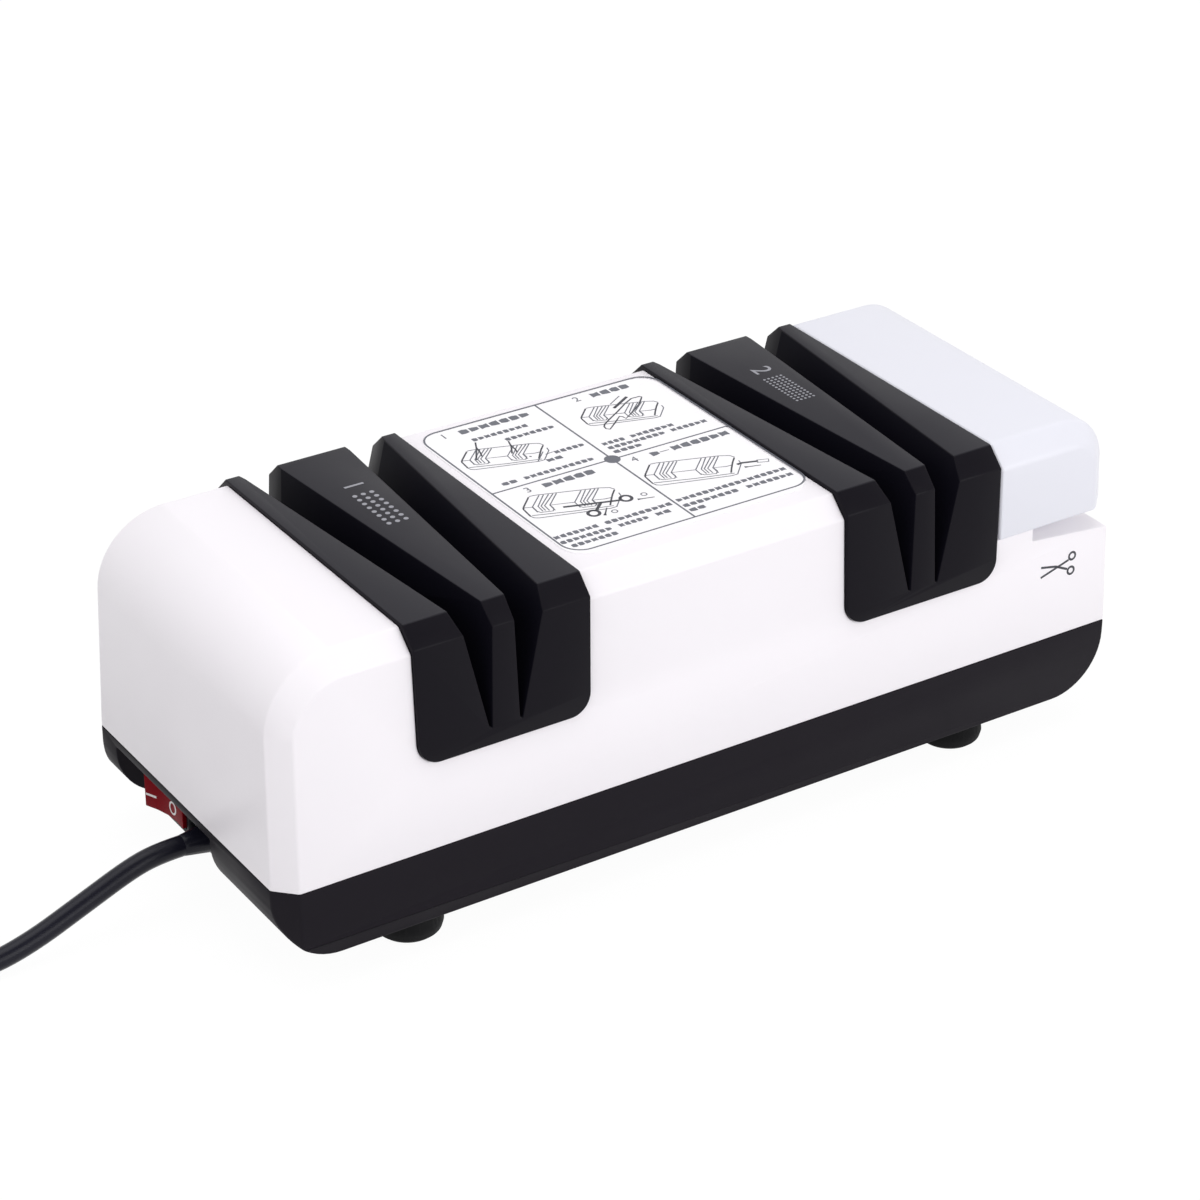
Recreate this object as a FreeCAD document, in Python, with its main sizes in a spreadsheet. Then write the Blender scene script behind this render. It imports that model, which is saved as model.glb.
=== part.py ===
import FreeCAD
import Part
import Sketcher
import math
import os

from FreeCAD import Placement, Rotation, Vector

# Electric knife sharpener, sizes in millimetres.
# X runs along the housing, from the switch end (-X) to the scissors end (+X).
# The front face looks to -Y. The origin is under the middle of the housing, on the table.

SIZES = {
    # housing
    "body_length": 280.0,
    "body_width": 112.0,
    "foot_height": 10.5,
    "base_height": 22.3,
    "shell_height": 66.0,
    "end_draft": 1.45,
    "side_draft": 2.65,
    "wall": 2.6,
    "corner_cut": 5.8,
    "corner_softening": 1.4,
    "shell_end_radius": 21.5,
    "base_end_radius": 18.0,
    "fit_gap": 0.15,
    "lip_height": 2.5,
    "lip_thickness": 1.4,
    "lip_gap": 0.2,
    "lip_root": 4.0,
    "lip_setback": 22.0,
    "vent_width": 3.0,
    "vent_length": 26.0,
    "vent_pitch": 8.0,
    # black saddle guides
    "guide_offset": 70.0,
    "guide_width": 55.0,
    "guide_narrowing": 0.7,
    "guide_proud": 1.2,
    "guide_cut": 5.4,
    "guide_depth": 40.5,
    "guide_corner": 6.5,
    "guide_rim": 4.2,
    "guide_side_wall": 3.0,
    "guide_hollow": 3.0,
    # knife slots, given at two planes just in front of and behind the guide
    "slot_overshoot": 0.8,
    "slot_front_inner": 3.1,
    "slot_front_outer": 13.2,
    "slot_back_inner": 12.0,
    "slot_back_outer": 23.4,
    "slot_depth": 35.5,
    "slot_inner_lean": 1.2,
    "slot_outer_lean": 8.2,
    # cap over the scissors station
    "cap_seat": 71.0,
    "cap_proud": 1.0,
    "cap_end_radius": 14.0,
    "cap_roof": 5.1,
    "slot_from_cap": 13.55,
    "scissor_slot_lip": 4.1,
    "scissor_slot_fall": 3.2,
    "scissor_slot_back": 22.0,
    "scissor_window_gap": 1.7,
    "scissor_side_gap": 0.8,
    "driver_slot_width": 13.0,
    "driver_slot_height": 4.6,
    "driver_slot_rise": 8.3,
    # printed panel
    "panel_margin": 2.5,
    "panel_width": 85.0,
    "panel_shift_x": 1.0,
    "panel_shift_y": 1.5,
    "panel_thickness": 0.2,
    "panel_corner": 7.0,
    # drive line
    "shaft_radius": 4.0,
    "shaft_overhang": 6.5,
    "shaft_end_inset": 9.5,
    "shaft_bevel": 0.7,
    "running_gap": 0.03,
    "press_gap": 0.02,
    "wheel_radius": 30.0,
    "wheel_rim": 7.0,
    "wheel_hub": 11.0,
    "wheel_hub_radius": 12.5,
    "wheel_clearance": 1.2,
    "scissor_wheel_radius": 17.6,
    "scissor_wheel_inset": 27.0,
    "scissor_wheel_width": 8.0,
    "scissor_wheel_bevel": 1.0,
    "bearing_radius": 11.0,
    "bearing_width": 7.0,
    "bearing_race": 2.2,
    "bearing_recess": 0.6,
    "collar_length": 5.5,
    "collar_radius": 7.0,
    "short_collar_length": 3.6,
    "nut_radius": 7.5,
    "nut_height": 5.5,
    # motor
    "motor_lift": 3.9,
    "stack_length": 32.0,
    "stack_size": 66.0,
    "stack_corner": 4.0,
    "stack_bore": 17.6,
    "armature_gap": 0.5,
    "armature_slot_width": 2.0,
    "armature_slot_depth": 6.5,
    "winding_length": 6.5,
    "winding_inset": 2.5,
    "pole_thickness": 3.4,
    "coil_height": 6.8,
    "coil_half_width": 25.0,
    "coil_half_hole": 11.4,
    "coil_overhang": 10.0,
    "coil_corner": 8.0,
    "winding_gap": 0.1,
    "bracket_distance": 34.0,
    "bracket_plate": 3.0,
    "bracket_rim": 5.0,
    "bracket_spoke": 30.0,
    "seat_wall": 2.6,
    "seat_length": 8.5,
    "leg_radius": 3.2,
    "tie_rod_place": 28.5,
    "tie_rod_radius": 1.9,
    "tie_head_radius": 3.4,
    "tie_head_height": 2.6,
    "mount_drop": 30.0,
    "ear_thickness": 2.5,
    "ear_length": 13.0,
    "ear_half_width": 24.5,
    "mount_screw_reach": 8.5,
    "mount_screw_y": 20.0,
    "mount_screw_radius": 1.55,
    "mount_head_radius": 3.5,
    "mount_head_height": 2.5,
    "screw_slack": 0.25,
    "pedestal_inset": 35.4,
    "pedestal_width": 7.2,
    "pedestal_half": 13.0,
    "pedestal_foot": 10.0,
    "cradle_thickness": 4.0,
    "commutator_radius": 11.0,
    "commutator_gap": 1.0,
    "fan_radius": 26.0,
    "fan_hub_radius": 8.0,
    "fan_width": 6.0,
    "fan_disc": 1.6,
    "fan_gap": 0.8,
    "fan_blade": 1.4,
    "brush_width": 6.0,
    "brush_length": 13.0,
    "brush_gap": 0.05,
    "holder_wall": 2.0,
    "holder_length": 18.0,
    # switch pocket and switch
    "pocket_depth": 9.5,
    "pocket_wall": 2.2,
    "pocket_front": 15.5,
    "pocket_inset": 15.0,
    "pocket_top_rim": 2.6,
    "switch_inset": 32.5,
    "switch_height": 9.9,
    "switch_flange_length": 22.0,
    "switch_flange_height": 14.8,
    "switch_flange_thickness": 2.0,
    "switch_body_length": 19.8,
    "switch_body_height": 12.8,
    "switch_body_depth": 15.0,
    "switch_well": 7.0,
    "switch_gap": 0.1,
    "rocker_length": 17.2,
    "rocker_height": 10.8,
    "rocker_end": 4.9,
    "rocker_valley": 3.5,
    "rocker_tilt": 11.0,
    "rocker_pin_radius": 1.0,
    "rocker_gap": 0.3,
    "terminal_length": 8.0,
    "terminal_width": 4.8,
    "terminal_thickness": 0.8,
    "terminal_pitch": 6.0,
    # feet and screws
    "foot_radius": 10.0,
    "foot_inset_x": 46.0,
    "foot_inset_y": 14.0,
    "foot_bevel": 2.0,
    "foot_sink_radius": 4.2,
    "foot_web": 5.0,
    "screw_inset_x": 22.0,
    "screw_inset_y": 14.0,
    "screw_radius": 1.8,
    "screw_head_radius": 3.5,
    "screw_head_height": 2.6,
    "screw_bite": 14.0,
    "boss_radius": 4.5,
    "sink_depth": 5.0,
    # mains cord
    "cord_diameter": 6.0,
    "gland_rise": 9.5,
    "gland_neck": 4.4,
    "gland_flange": 1.2,
    "gland_tip": 1.0,
    "gland_sleeve": 0.55,
    "inner_cord_length": 14.0,
    "clamp_length": 8.0,
    "clamp_half": 12.0,
    "clamp_thickness": 3.0,
    "lead_radius": 1.1,
    "lead_spread": 1.5,
    "lead_loop": 17.0,
    "lead_reach": 42.0,
    "lead_drop": 3.5,
    "lead_side": 34.5,
    "lead_rise": 8.0,
    "cord_reach": 77.0,
    "cord_sway": 2.2,
    "coil_distance": 99.0,
    "coil_pitch": 6.5,
    "coil_inner_radius": 25.0,
    "coil_floor": 3.7,
    "tie_thickness": 0.5,
    "tie_slack": 0.1,
    "tie_width": 10.0,
    "plug_axis": 8.6,
    "plug_width": 36.0,
    "plug_length": 32.0,
    "plug_bevel": 2.2,
    "pin_length": 19.0,
    "pin_radius": 2.4,
    "pin_spacing": 19.0,
}

OUT_DIR = "parts"
doc = FreeCAD.newDocument("KnifeSharpener")
sheet = doc.addObject("Spreadsheet::Sheet", "Sizes")
for row, (alias, amount) in enumerate(SIZES.items(), start=1):
    sheet.set("A%d" % row, alias)
    sheet.set("B%d" % row, str(amount))
    sheet.setAlias("B%d" % row, alias)
doc.recompute()


class Dim:
    """A length that knows both its value and the sheet expression that gives it."""

    def __init__(self, value, text):
        self.value = value
        self.text = text

    def __add__(self, other):
        other = dim(other)
        return Dim(self.value + other.value, "(%s + %s)" % (self.text, other.text))

    def __sub__(self, other):
        other = dim(other)
        return Dim(self.value - other.value, "(%s - %s)" % (self.text, other.text))

    def __mul__(self, other):
        other = dim(other)
        return Dim(self.value * other.value, "(%s * %s)" % (self.text, other.text))

    def __truediv__(self, other):
        other = dim(other)
        return Dim(self.value / other.value, "(%s / %s)" % (self.text, other.text))

    def __neg__(self):
        return Dim(-self.value, "(-1 * %s)" % self.text)

    def __radd__(self, other):
        return dim(other) + self

    def __rsub__(self, other):
        return dim(other) - self

    def __rmul__(self, other):
        return dim(other) * self


def dim(amount):
    if isinstance(amount, Dim):
        return amount
    return Dim(float(amount), "%.6g" % amount)


def size(alias):
    return Dim(float(SIZES[alias]), "Sizes.%s" % alias)


def bind(obj, prop, amount):
    obj.setExpression(prop, dim(amount).text)


def finish(obj, label):
    """Give a sub-part its name."""
    obj.Label = label
    return obj


# Part primitives placed by named sizes

def place(obj, x, y, z, rotation=None):
    obj.Placement = Placement(Vector(0, 0, 0), rotation or Rotation())
    bind(obj, "Placement.Base.x", x)
    bind(obj, "Placement.Base.y", y)
    bind(obj, "Placement.Base.z", z)


def box(name, xs, ys, zs):
    obj = doc.addObject("Part::Box", name)
    bind(obj, "Length", dim(xs[1]) - xs[0])
    bind(obj, "Width", dim(ys[1]) - ys[0])
    bind(obj, "Height", dim(zs[1]) - zs[0])
    place(obj, xs[0], ys[0], zs[0])
    return obj


TURNS = {
    "x": Rotation(Vector(0, 1, 0), 90),
    "y": Rotation(Vector(1, 0, 0), -90),
    "z": Rotation(),
}


def rod(name, axis, start, end, across, radius):
    """A cylinder along one axis; across gives its two other coordinates in X, Y, Z order."""
    obj = doc.addObject("Part::Cylinder", name)
    bind(obj, "Radius", radius)
    bind(obj, "Height", dim(end) - start)
    spot = {"x": (start, across[0], across[1]),
            "y": (across[0], start, across[1]),
            "z": (across[0], across[1], start)}[axis]
    place(obj, spot[0], spot[1], spot[2], TURNS[axis])
    return obj


def fuse(name, shapes):
    obj = doc.addObject("Part::MultiFuse", name)
    obj.Shapes = shapes
    obj.Refine = True
    return obj


def common(name, first, second):
    obj = doc.addObject("Part::MultiCommon", name)
    obj.Shapes = [first, second]
    return obj


def cut(name, base, tools):
    obj = doc.addObject("Part::Cut", name)
    obj.Base = base
    if len(tools) > 1:
        obj.Tool = fuse(name + "_tools", tools)
    else:
        obj.Tool = tools[0]
    return obj


def group(name, shapes):
    """Several separate solids kept as one node."""
    obj = doc.addObject("Part::Compound", name)
    obj.Links = shapes
    return obj


# PartDesign bodies

PLANES = {"xy": "XY_Plane", "xz": "XZ_Plane", "yz": "YZ_Plane"}


def new_body(name):
    return doc.addObject("PartDesign::Body", name)


def origin_plane(body, plane):
    for feature in body.Origin.OriginFeatures:
        if feature.Role == PLANES[plane]:
            return feature
    raise ValueError(plane)


def outline(body, name, plane, corners, lift=0.0, rise=0.0):
    """A closed polygon whose corners are bound to the sheet.

    lift moves the sketch along the plane's normal, rise along the sketch's own vertical.
    """
    sketch = body.newObject("Sketcher::SketchObject", name)
    sketch.AttachmentSupport = [(origin_plane(body, plane), "")]
    sketch.MapMode = "FlatFace"
    bind(sketch, "AttachmentOffset.Base.z", lift)
    bind(sketch, "AttachmentOffset.Base.y", rise)
    points = [(dim(u), dim(v)) for u, v in corners]
    count = len(points)
    for index in range(count):
        here = points[index]
        there = points[(index + 1) % count]
        sketch.addGeometry(Part.LineSegment(Vector(here[0].value, here[1].value, 0),
                                            Vector(there[0].value, there[1].value, 0)))
    for index in range(count):
        sketch.addConstraint(Sketcher.Constraint("Coincident", index, 2, (index + 1) % count, 1))
    for index, (u, v) in enumerate(points):
        across = sketch.addConstraint(Sketcher.Constraint("DistanceX", -1, 1, index, 1, u.value))
        sketch.setExpression("Constraints[%d]" % across, u.text)
        along = sketch.addConstraint(Sketcher.Constraint("DistanceY", -1, 1, index, 1, v.value))
        sketch.setExpression("Constraints[%d]" % along, v.text)
    return sketch


def outline_circle(body, name, radius):
    """A circle round the body's own vertical axis."""
    sketch = body.newObject("Sketcher::SketchObject", name)
    sketch.AttachmentSupport = [(origin_plane(body, "xy"), "")]
    sketch.MapMode = "FlatFace"
    sketch.addGeometry(Part.Circle(Vector(0, 0, 0), Vector(0, 0, 1), dim(radius).value))
    sketch.addConstraint(Sketcher.Constraint("Coincident", 0, 3, -1, 1))
    index = sketch.addConstraint(Sketcher.Constraint("Radius", 0, dim(radius).value))
    sketch.setExpression("Constraints[%d]" % index, dim(radius).text)
    return sketch


def rectangle(x0, x1, y0, y1):
    return [(x0, y0), (x1, y0), (x1, y1), (x0, y1)]


def pad(body, name, sketch, length, midplane=False):
    feature = body.newObject("PartDesign::Pad", name)
    feature.Profile = sketch
    bind(feature, "Length", length)
    if midplane:
        feature.SideType = "Symmetric"
    doc.recompute()
    return feature


def pocket_through(body, name, sketch):
    """Cut a sketch's outline right through the body, both ways."""
    feature = body.newObject("PartDesign::Pocket", name)
    feature.Profile = sketch
    bind(feature, "Length", size("body_length") * 2)
    feature.SideType = "Symmetric"
    before = feature.BaseFeature.Shape.Volume
    doc.recompute()
    if not 0 < feature.Shape.Volume < before:
        raise ValueError("nothing cut by " + name)
    return feature


def loft_cut(body, name, first, second):
    """Cut the space between two outlines, with straight sides."""
    feature = body.newObject("PartDesign::SubtractiveLoft", name)
    feature.Profile = first
    feature.Sections = [(second, "")]
    feature.Ruled = True
    doc.recompute()
    return feature


def drafted_block(body, name, low_x, high_x, low_y, high_y, low_z, high_z):
    """A block whose ends lie at low_x and high_x pairs and whose sides lean from low_y to high_y."""
    line = [(low_x[0], low_z), (low_x[1], low_z), (high_x[1], high_z), (high_x[0], high_z)]
    form = pad(body, name + "_ends", outline(body, name + "_ends_line", "xz", line),
               (dim(low_y) + OVER) * 2, midplane=True)
    slope = (dim(high_y) - low_y) / (dim(high_z) - low_z)
    under = dim(low_z) - OVER
    above = dim(high_z) + OVER
    for tag, way in (("front", -1), ("back", 1)):
        line = [((low_y - slope * OVER) * way, under), ((high_y + slope * OVER) * way, above),
                ((low_y + OVER * 2) * way, above), ((low_y + OVER * 2) * way, under)]
        form = pocket_through(body, "%s_%s" % (name, tag),
                              outline(body, "%s_%s_line" % (name, tag), "yz", line))
    return form


def edges_where(feature, test):
    """Names of the edges whose every sampled point passes the test."""
    names = []
    for index, edge in enumerate(feature.Shape.Edges, start=1):
        samples = edge.discretize(5)
        if all(test(point) for point in samples):
            names.append("Edge%d" % index)
    return names


def dress(body, kind, name, feature, test, amount):
    """A fillet or chamfer on the edges that pass the test."""
    names = edges_where(feature, test)
    if not names:
        raise ValueError("no edge for " + name)
    item = body.newObject("PartDesign::" + kind, name)
    item.Base = (feature, names)
    if kind == "Fillet":
        bind(item, "Radius", amount)
    else:
        bind(item, "Size", amount)
    doc.recompute()
    return item


def revolve(body, name, sketch):
    """Turn an outline in the XZ plane about the sketch's own horizontal axis."""
    feature = body.newObject("PartDesign::Revolution", name)
    feature.Profile = sketch
    feature.ReferenceAxis = (sketch, ["H_Axis"])
    doc.recompute()
    return feature


def turned(name, corners, height):
    """A round piece on a horizontal axis along X; corners are (x, radius) pairs."""
    body = new_body(name)
    sketch = outline(body, name + "_profile", "xz", corners, rise=height)
    revolve(body, name + "_turn", sketch)
    return body


def ring(name, x0, x1, inner, outer, height):
    return turned(name, [(x0, inner), (x1, inner), (x1, outer), (x0, outer)], height)


def near(a, b, tolerance=0.02):
    return abs(a - b) < tolerance


# Derived places, all from the sheet

half_length = size("body_length") / 2
half_width = size("body_width") / 2
base_bottom = size("foot_height")
seam = size("foot_height") + size("base_height")
shell_top = seam + size("shell_height")
guide_top = shell_top + size("guide_proud")
guide_bottom = guide_top - size("guide_depth")
cap_start = size("guide_offset") + size("guide_width") / 2 + size("fit_gap")
cap_top = shell_top + size("cap_proud")
floor_top = base_bottom + size("wall")
axis_height = floor_top + size("motor_lift") + size("stack_size") / 2
mount_height = axis_height - size("mount_drop")
foot_x = half_length - size("foot_inset_x")
foot_y = half_width - size("foot_inset_y")
screw_x = half_length - size("screw_inset_x")
screw_y = half_width - size("screw_inset_y")
slot_start = cap_start + size("slot_from_cap")
scissor_wheel_start = half_length - size("scissor_wheel_inset")
pedestal_x = half_length - size("pedestal_inset")
shaft_left = size("guide_offset") + size("wheel_hub") + size("collar_length") + size("shaft_overhang")
shaft_right = half_length - size("shaft_end_inset")
pocket_x = half_length - size("pocket_depth")
switch_y = half_width - size("switch_inset")
pocket_back = half_width - size("pocket_inset")
switch_z = base_bottom + size("switch_height")
gland_z = base_bottom + size("gland_rise")
gland_tip_x = half_length + size("gland_tip")
mount_screw_x = size("bracket_distance") + size("mount_screw_reach")
OVER = 4.0


def lean_in(draft, height):
    """How far a drafted wall leans in at a height above the seam."""
    return size(draft) * (dim(height) - seam) / size("shell_height")


def half_width_at(height):
    return half_width - lean_in("side_draft", height)


def half_length_at(height):
    return half_length - lean_in("end_draft", height)


# Upper shell

def rounded_hood(name, inset, step_height, lip_drop, chamfer, radius, softening=None):
    """The shell's outer form, or the hollow inside it when inset is the wall.

    Drafted walls, a large radius over the switch end, soft chamfers down the left
    corners and along the top, and a step at the right for the cap and scissors slot.
    """
    body = new_body(name)
    top = shell_top - inset
    low_x = (-(half_length - inset), half_length - inset)
    high_x = (-(half_length_at(top) - inset), half_length_at(top) - inset)
    form = drafted_block(body, name, low_x, high_x, half_width - inset,
                         half_width_at(top) - inset, seam, top)
    form = dress(body, "Fillet", name + "_end", form,
                 lambda p: near(p.z, top.value) and p.x < -half_length.value * 0.9, radius)
    step = [(cap_start - inset, shell_top + OVER),
            (cap_start - inset, step_height),
            (slot_start - inset, step_height),
            (slot_start - inset, step_height - lip_drop),
            (half_length + OVER, step_height - lip_drop - size("scissor_slot_fall")),
            (half_length + OVER, shell_top + OVER)]
    if inset.value == 0:
        step = [(cap_start, shell_top + OVER), (cap_start, step_height),
                (half_length + OVER, step_height), (half_length + OVER, shell_top + OVER)]
    form = pocket_through(body, name + "_step", outline(body, name + "_step_line", "xz", step))
    limit = cap_start.value - inset.value
    centre_x, centre_z = arc_centre(form, radius)

    def is_rim(p):
        side = half_width_at(p.z).value - inset.value
        end = -(half_length_at(p.z).value - inset.value)
        on_side = near(abs(p.y), side) and p.x < limit + 0.01 and p.z > seam.value - 0.01
        from_arc = math.hypot(p.x - centre_x, p.z - centre_z)
        on_loop = near(p.x, end, 0.05) or near(p.z, top.value) or near(from_arc, radius.value, 0.05)
        return on_side and on_loop

    form = dress(body, "Chamfer", name + "_rim", form, is_rim, chamfer)
    if softening:
        soften(body, name + "_soft", form, softening, low=seam, right=cap_start)
    return body


def arc_centre(feature, radius):
    """Middle of the end radius in X and Z, read from the rounded face."""
    for face in feature.Shape.Faces:
        if hasattr(face.Surface, "Radius") and near(face.Surface.Radius, radius.value):
            return face.Surface.Center.x, face.Surface.Center.z
    raise ValueError("no end radius on " + feature.Name)


def slanted(face):
    """True for a chamfer face: neither a side, an end nor the top."""
    u0, u1, v0, v1 = face.ParameterRange
    normal = face.normalAt((u0 + u1) / 2, (v0 + v1) / 2)
    return 0.4 < abs(normal.y) < 0.95


def soften(body, name, feature, radius, low=None, right=None, left=None):
    """Round both edges of every chamfer band, leaving the band's ends as they are."""
    names = []
    for index, edge in enumerate(feature.Shape.Edges, start=1):
        samples = edge.discretize(5)
        if low and all(near(p.z, low.value) for p in samples):
            continue
        if right and all(near(p.x, right.value) for p in samples):
            continue
        if left and all(near(p.x, left.value) for p in samples):
            continue
        owners = [f for f in feature.Shape.Faces if any(e.isSame(edge) for e in f.Edges)]
        if len(owners) == 2 and slanted(owners[0]) != slanted(owners[1]):
            names.append("Edge%d" % index)
    item = body.newObject("PartDesign::Fillet", name)
    item.Base = (feature, names)
    bind(item, "Radius", radius)
    doc.recompute()
    return item


def make_upper_shell():
    none = dim(0)
    wall = size("wall")
    outer = rounded_hood("shell_outer", none, size("cap_seat"), none, size("corner_cut"),
                         size("shell_end_radius"), size("corner_softening"))
    core = rounded_hood("shell_core", wall, size("cap_seat") - wall, size("scissor_slot_lip"),
                        inner_cut, size("shell_end_radius") - wall)
    notches = []
    for side, label in ((-1, "left"), (1, "right")):
        notch = new_body("notch_" + label)
        centre = size("guide_offset") * side
        high = size("guide_width") / 2 + size("fit_gap")
        low = high - size("guide_narrowing")
        line = [(centre - high, guide_top + OVER), (centre - low, guide_bottom),
                (centre + low, guide_bottom), (centre + high, guide_top + OVER)]
        form = pad(notch, "notch_pad_" + label, outline(notch, "notch_line_" + label, "xz", line),
                   size("body_width") + 2 * OVER, midplane=True)
        dress(notch, "Fillet", "notch_round_" + label, form,
              lambda p: near(p.z, guide_bottom.value) and
              near(abs(p.x - centre.value), low.value), size("guide_corner"))
        notches.append(notch)
    slot = new_body("scissor_slot")
    lip = size("cap_seat") - size("scissor_slot_lip")
    line = [(slot_start, size("cap_seat") + OVER), (slot_start, lip),
            (half_length + OVER, lip - size("scissor_slot_fall")),
            (half_length + OVER, size("cap_seat") + OVER)]
    depth = size("scissor_slot_back") + half_width + OVER
    sketch = outline(slot, "scissor_slot_line", "xz", line, lift=-size("scissor_slot_back"))
    pad(slot, "scissor_slot_pad", sketch, depth)
    side_gap = size("scissor_side_gap")
    window = rod("scissor_window", "x", scissor_wheel_start - side_gap,
                 scissor_wheel_start + size("scissor_wheel_width") + side_gap,
                 (dim(0), axis_height), size("scissor_wheel_radius") + size("scissor_window_gap"))
    driver_z = axis_height + size("driver_slot_rise")
    half = size("driver_slot_width") / 2
    tall = size("driver_slot_height") / 2
    driver = box("driver_slot", (half_length - 3 * wall, half_length + OVER), (-half, half),
                 (driver_z - tall, driver_z + tall))
    hollow = cut("shell_hollow", outer, [core])
    bosses = []
    holes = []
    for tag, ix, iy in CORNERS:
        spot = (screw_x * ix, screw_y * iy)
        top = shell_top - wall / 2 if ix < 0 else size("cap_seat") - wall * 2.5
        bosses.append(rod("shell_boss_" + tag, "z", seam, top, spot, size("boss_radius")))
        holes.append(rod("shell_pilot_" + tag, "z", seam - 1, seam + size("screw_bite") + 2, spot,
                         size("screw_radius")))
    body = fuse("shell_with_bosses", [hollow] + bosses)
    finish(cut("upper_shell", body, notches + [slot, window, driver] + holes), "upper_shell")


# Base tray

def tray_form(name, inset, bottom, radius, chamfer, softening=None):
    body = new_body(name)
    reach = half_length - inset
    side = half_width - inset
    form = pad(body, name + "_pad", outline(body, name + "_line", "xy",
               rectangle(-reach, reach, -side, side), lift=bottom), seam - bottom)
    form = dress(body, "Fillet", name + "_ends", form,
                 lambda p: near(p.z, bottom.value) and near(abs(p.x), reach.value), radius)
    for tag, iy in (("front", -1), ("back", 1)):
        corner = [(-reach - OVER, (side - chamfer - OVER) * iy),
                  (-reach - OVER, (side + OVER * 2) * iy),
                  (-reach + chamfer + OVER, (side + OVER) * iy)]
        form = pocket_through(body, name + "_" + tag,
                              outline(body, name + "_corner_" + tag, "xy", corner, lift=bottom))
    if softening:
        soften(body, name + "_soft", form, softening, low=seam)
    return body


def tray_fixings():
    """Bosses that stand in the tray and the holes that go through them."""
    adds = []
    cuts = []
    boss = size("boss_radius")
    root = floor_top - size("fit_gap")
    for tag, ix, iy in CORNERS:
        spot = (screw_x * ix, screw_y * iy)
        adds.append(rod("tray_boss_" + tag, "z", root, seam, spot, boss))
        cuts.append(rod("tray_bore_" + tag, "z", base_bottom - 1, seam + 1, spot,
                        size("screw_radius") + size("screw_slack")))
        cuts.append(rod("tray_sink_" + tag, "z", base_bottom - 1, base_bottom + size("sink_depth"),
                        spot, size("screw_head_radius") + size("screw_slack")))
        spot = (foot_x * ix, foot_y * iy)
        adds.append(rod("foot_boss_" + tag, "z", root, base_bottom + size("boss_radius") * 2, spot,
                        boss))
        cuts.append(rod("foot_bore_" + tag, "z", base_bottom - 1,
                        base_bottom + size("boss_radius") * 1.7, spot, size("screw_radius")))
    for tag, x, iy in MOUNT_SPOTS:
        spot = (x, size("mount_screw_y") * iy)
        adds.append(rod("motor_boss_" + tag, "z", root, mount_height, spot, boss))
        cuts.append(rod("motor_bore_" + tag, "z", floor_top + 1, mount_height + 1, spot,
                        size("mount_screw_radius") + size("press_gap") * 2))
    half = size("stack_length") / 2 - size("cradle_thickness") / 2
    for tag, iy in (("front", -1), ("back", 1)):
        middle = size("mount_screw_y") * iy
        adds.append(box("cradle_" + tag, (-half, half),
                        (middle - size("cradle_thickness") / 2, middle + size("cradle_thickness") / 2),
                        (root, axis_height - size("stack_size") / 2)))
    for index in range(-3, 4):
        x = size("vent_pitch") * index
        half = size("vent_width") / 2
        cuts.append(box("vent_%d" % (index + 3), (x - half, x + half),
                        (-size("vent_length") / 2, size("vent_length") / 2),
                        (base_bottom - 1, floor_top + 1)))
    return adds, cuts


def tray_lip():
    """An upstanding lip that the shell drops over, with a root joined to the tray wall."""
    wall = size("wall")
    thick = size("lip_thickness")
    gap = size("lip_gap")
    low = seam - size("lip_root")
    high = seam + size("lip_height")
    setback = size("lip_setback")
    pieces = []
    for tag, iy in (("front", -1), ("back", 1)):
        outer = half_width - wall
        for part, reach, z1 in (("root", outer + wall / 2, seam), ("edge", outer - gap, high)):
            ys = sorted_pair((outer - gap - thick) * iy, reach * iy)
            pieces.append(box("lip_%s_%s" % (part, tag),
                              (-(half_length - setback), half_length - setback), ys, (low, z1)))
    outer = half_length - wall
    for part, reach, z1 in (("root", outer + wall / 2, seam), ("edge", outer - gap, high)):
        pieces.append(box("lip_%s_right" % part, (outer - gap - thick, reach),
                          (-(half_width - setback), half_width - setback), (low, z1)))
    return pieces


def sorted_pair(a, b):
    return (a, b) if a.value < b.value else (b, a)


def make_base_tray():
    wall = size("wall")
    none = dim(0)
    outer = tray_form("tray_outer", none, base_bottom, size("base_end_radius"),
                      size("corner_cut"), size("corner_softening"))
    core = tray_form("tray_core", wall, floor_top, size("base_end_radius") - wall, inner_cut)
    hollow = cut("tray_hollow", outer, [core])
    liner_box = box("pocket_liner_box", (-half_length - 1, -pocket_x + size("pocket_wall")),
                    (-size("pocket_front") - wall, pocket_back + wall),
                    (base_bottom - 1, seam))
    liner = common("pocket_liner", outer, liner_box)
    adds, cuts = tray_fixings()
    cuts.append(box("pocket_space", (-half_length - OVER, -pocket_x),
                    (-size("pocket_front"), pocket_back),
                    (base_bottom - OVER, seam - size("pocket_top_rim"))))
    half = size("switch_body_length") / 2 + size("switch_gap")
    tall = size("switch_body_height") / 2 + size("switch_gap")
    cuts.append(box("switch_hole", (-pocket_x - 1, -pocket_x + size("pocket_wall") * 2),
                    (switch_y - half, switch_y + half),
                    (switch_z - tall, switch_z + tall)))
    cuts.append(rod("gland_hole", "x", -pocket_x - 1, -pocket_x + size("pocket_wall") * 2,
                    (dim(0), gland_z), size("gland_neck") + size("fit_gap")))
    solid = fuse("tray_solid", [hollow, liner] + adds + tray_lip())
    finish(cut("base_tray", solid, cuts), "base_tray")


# Knife guides

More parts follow.
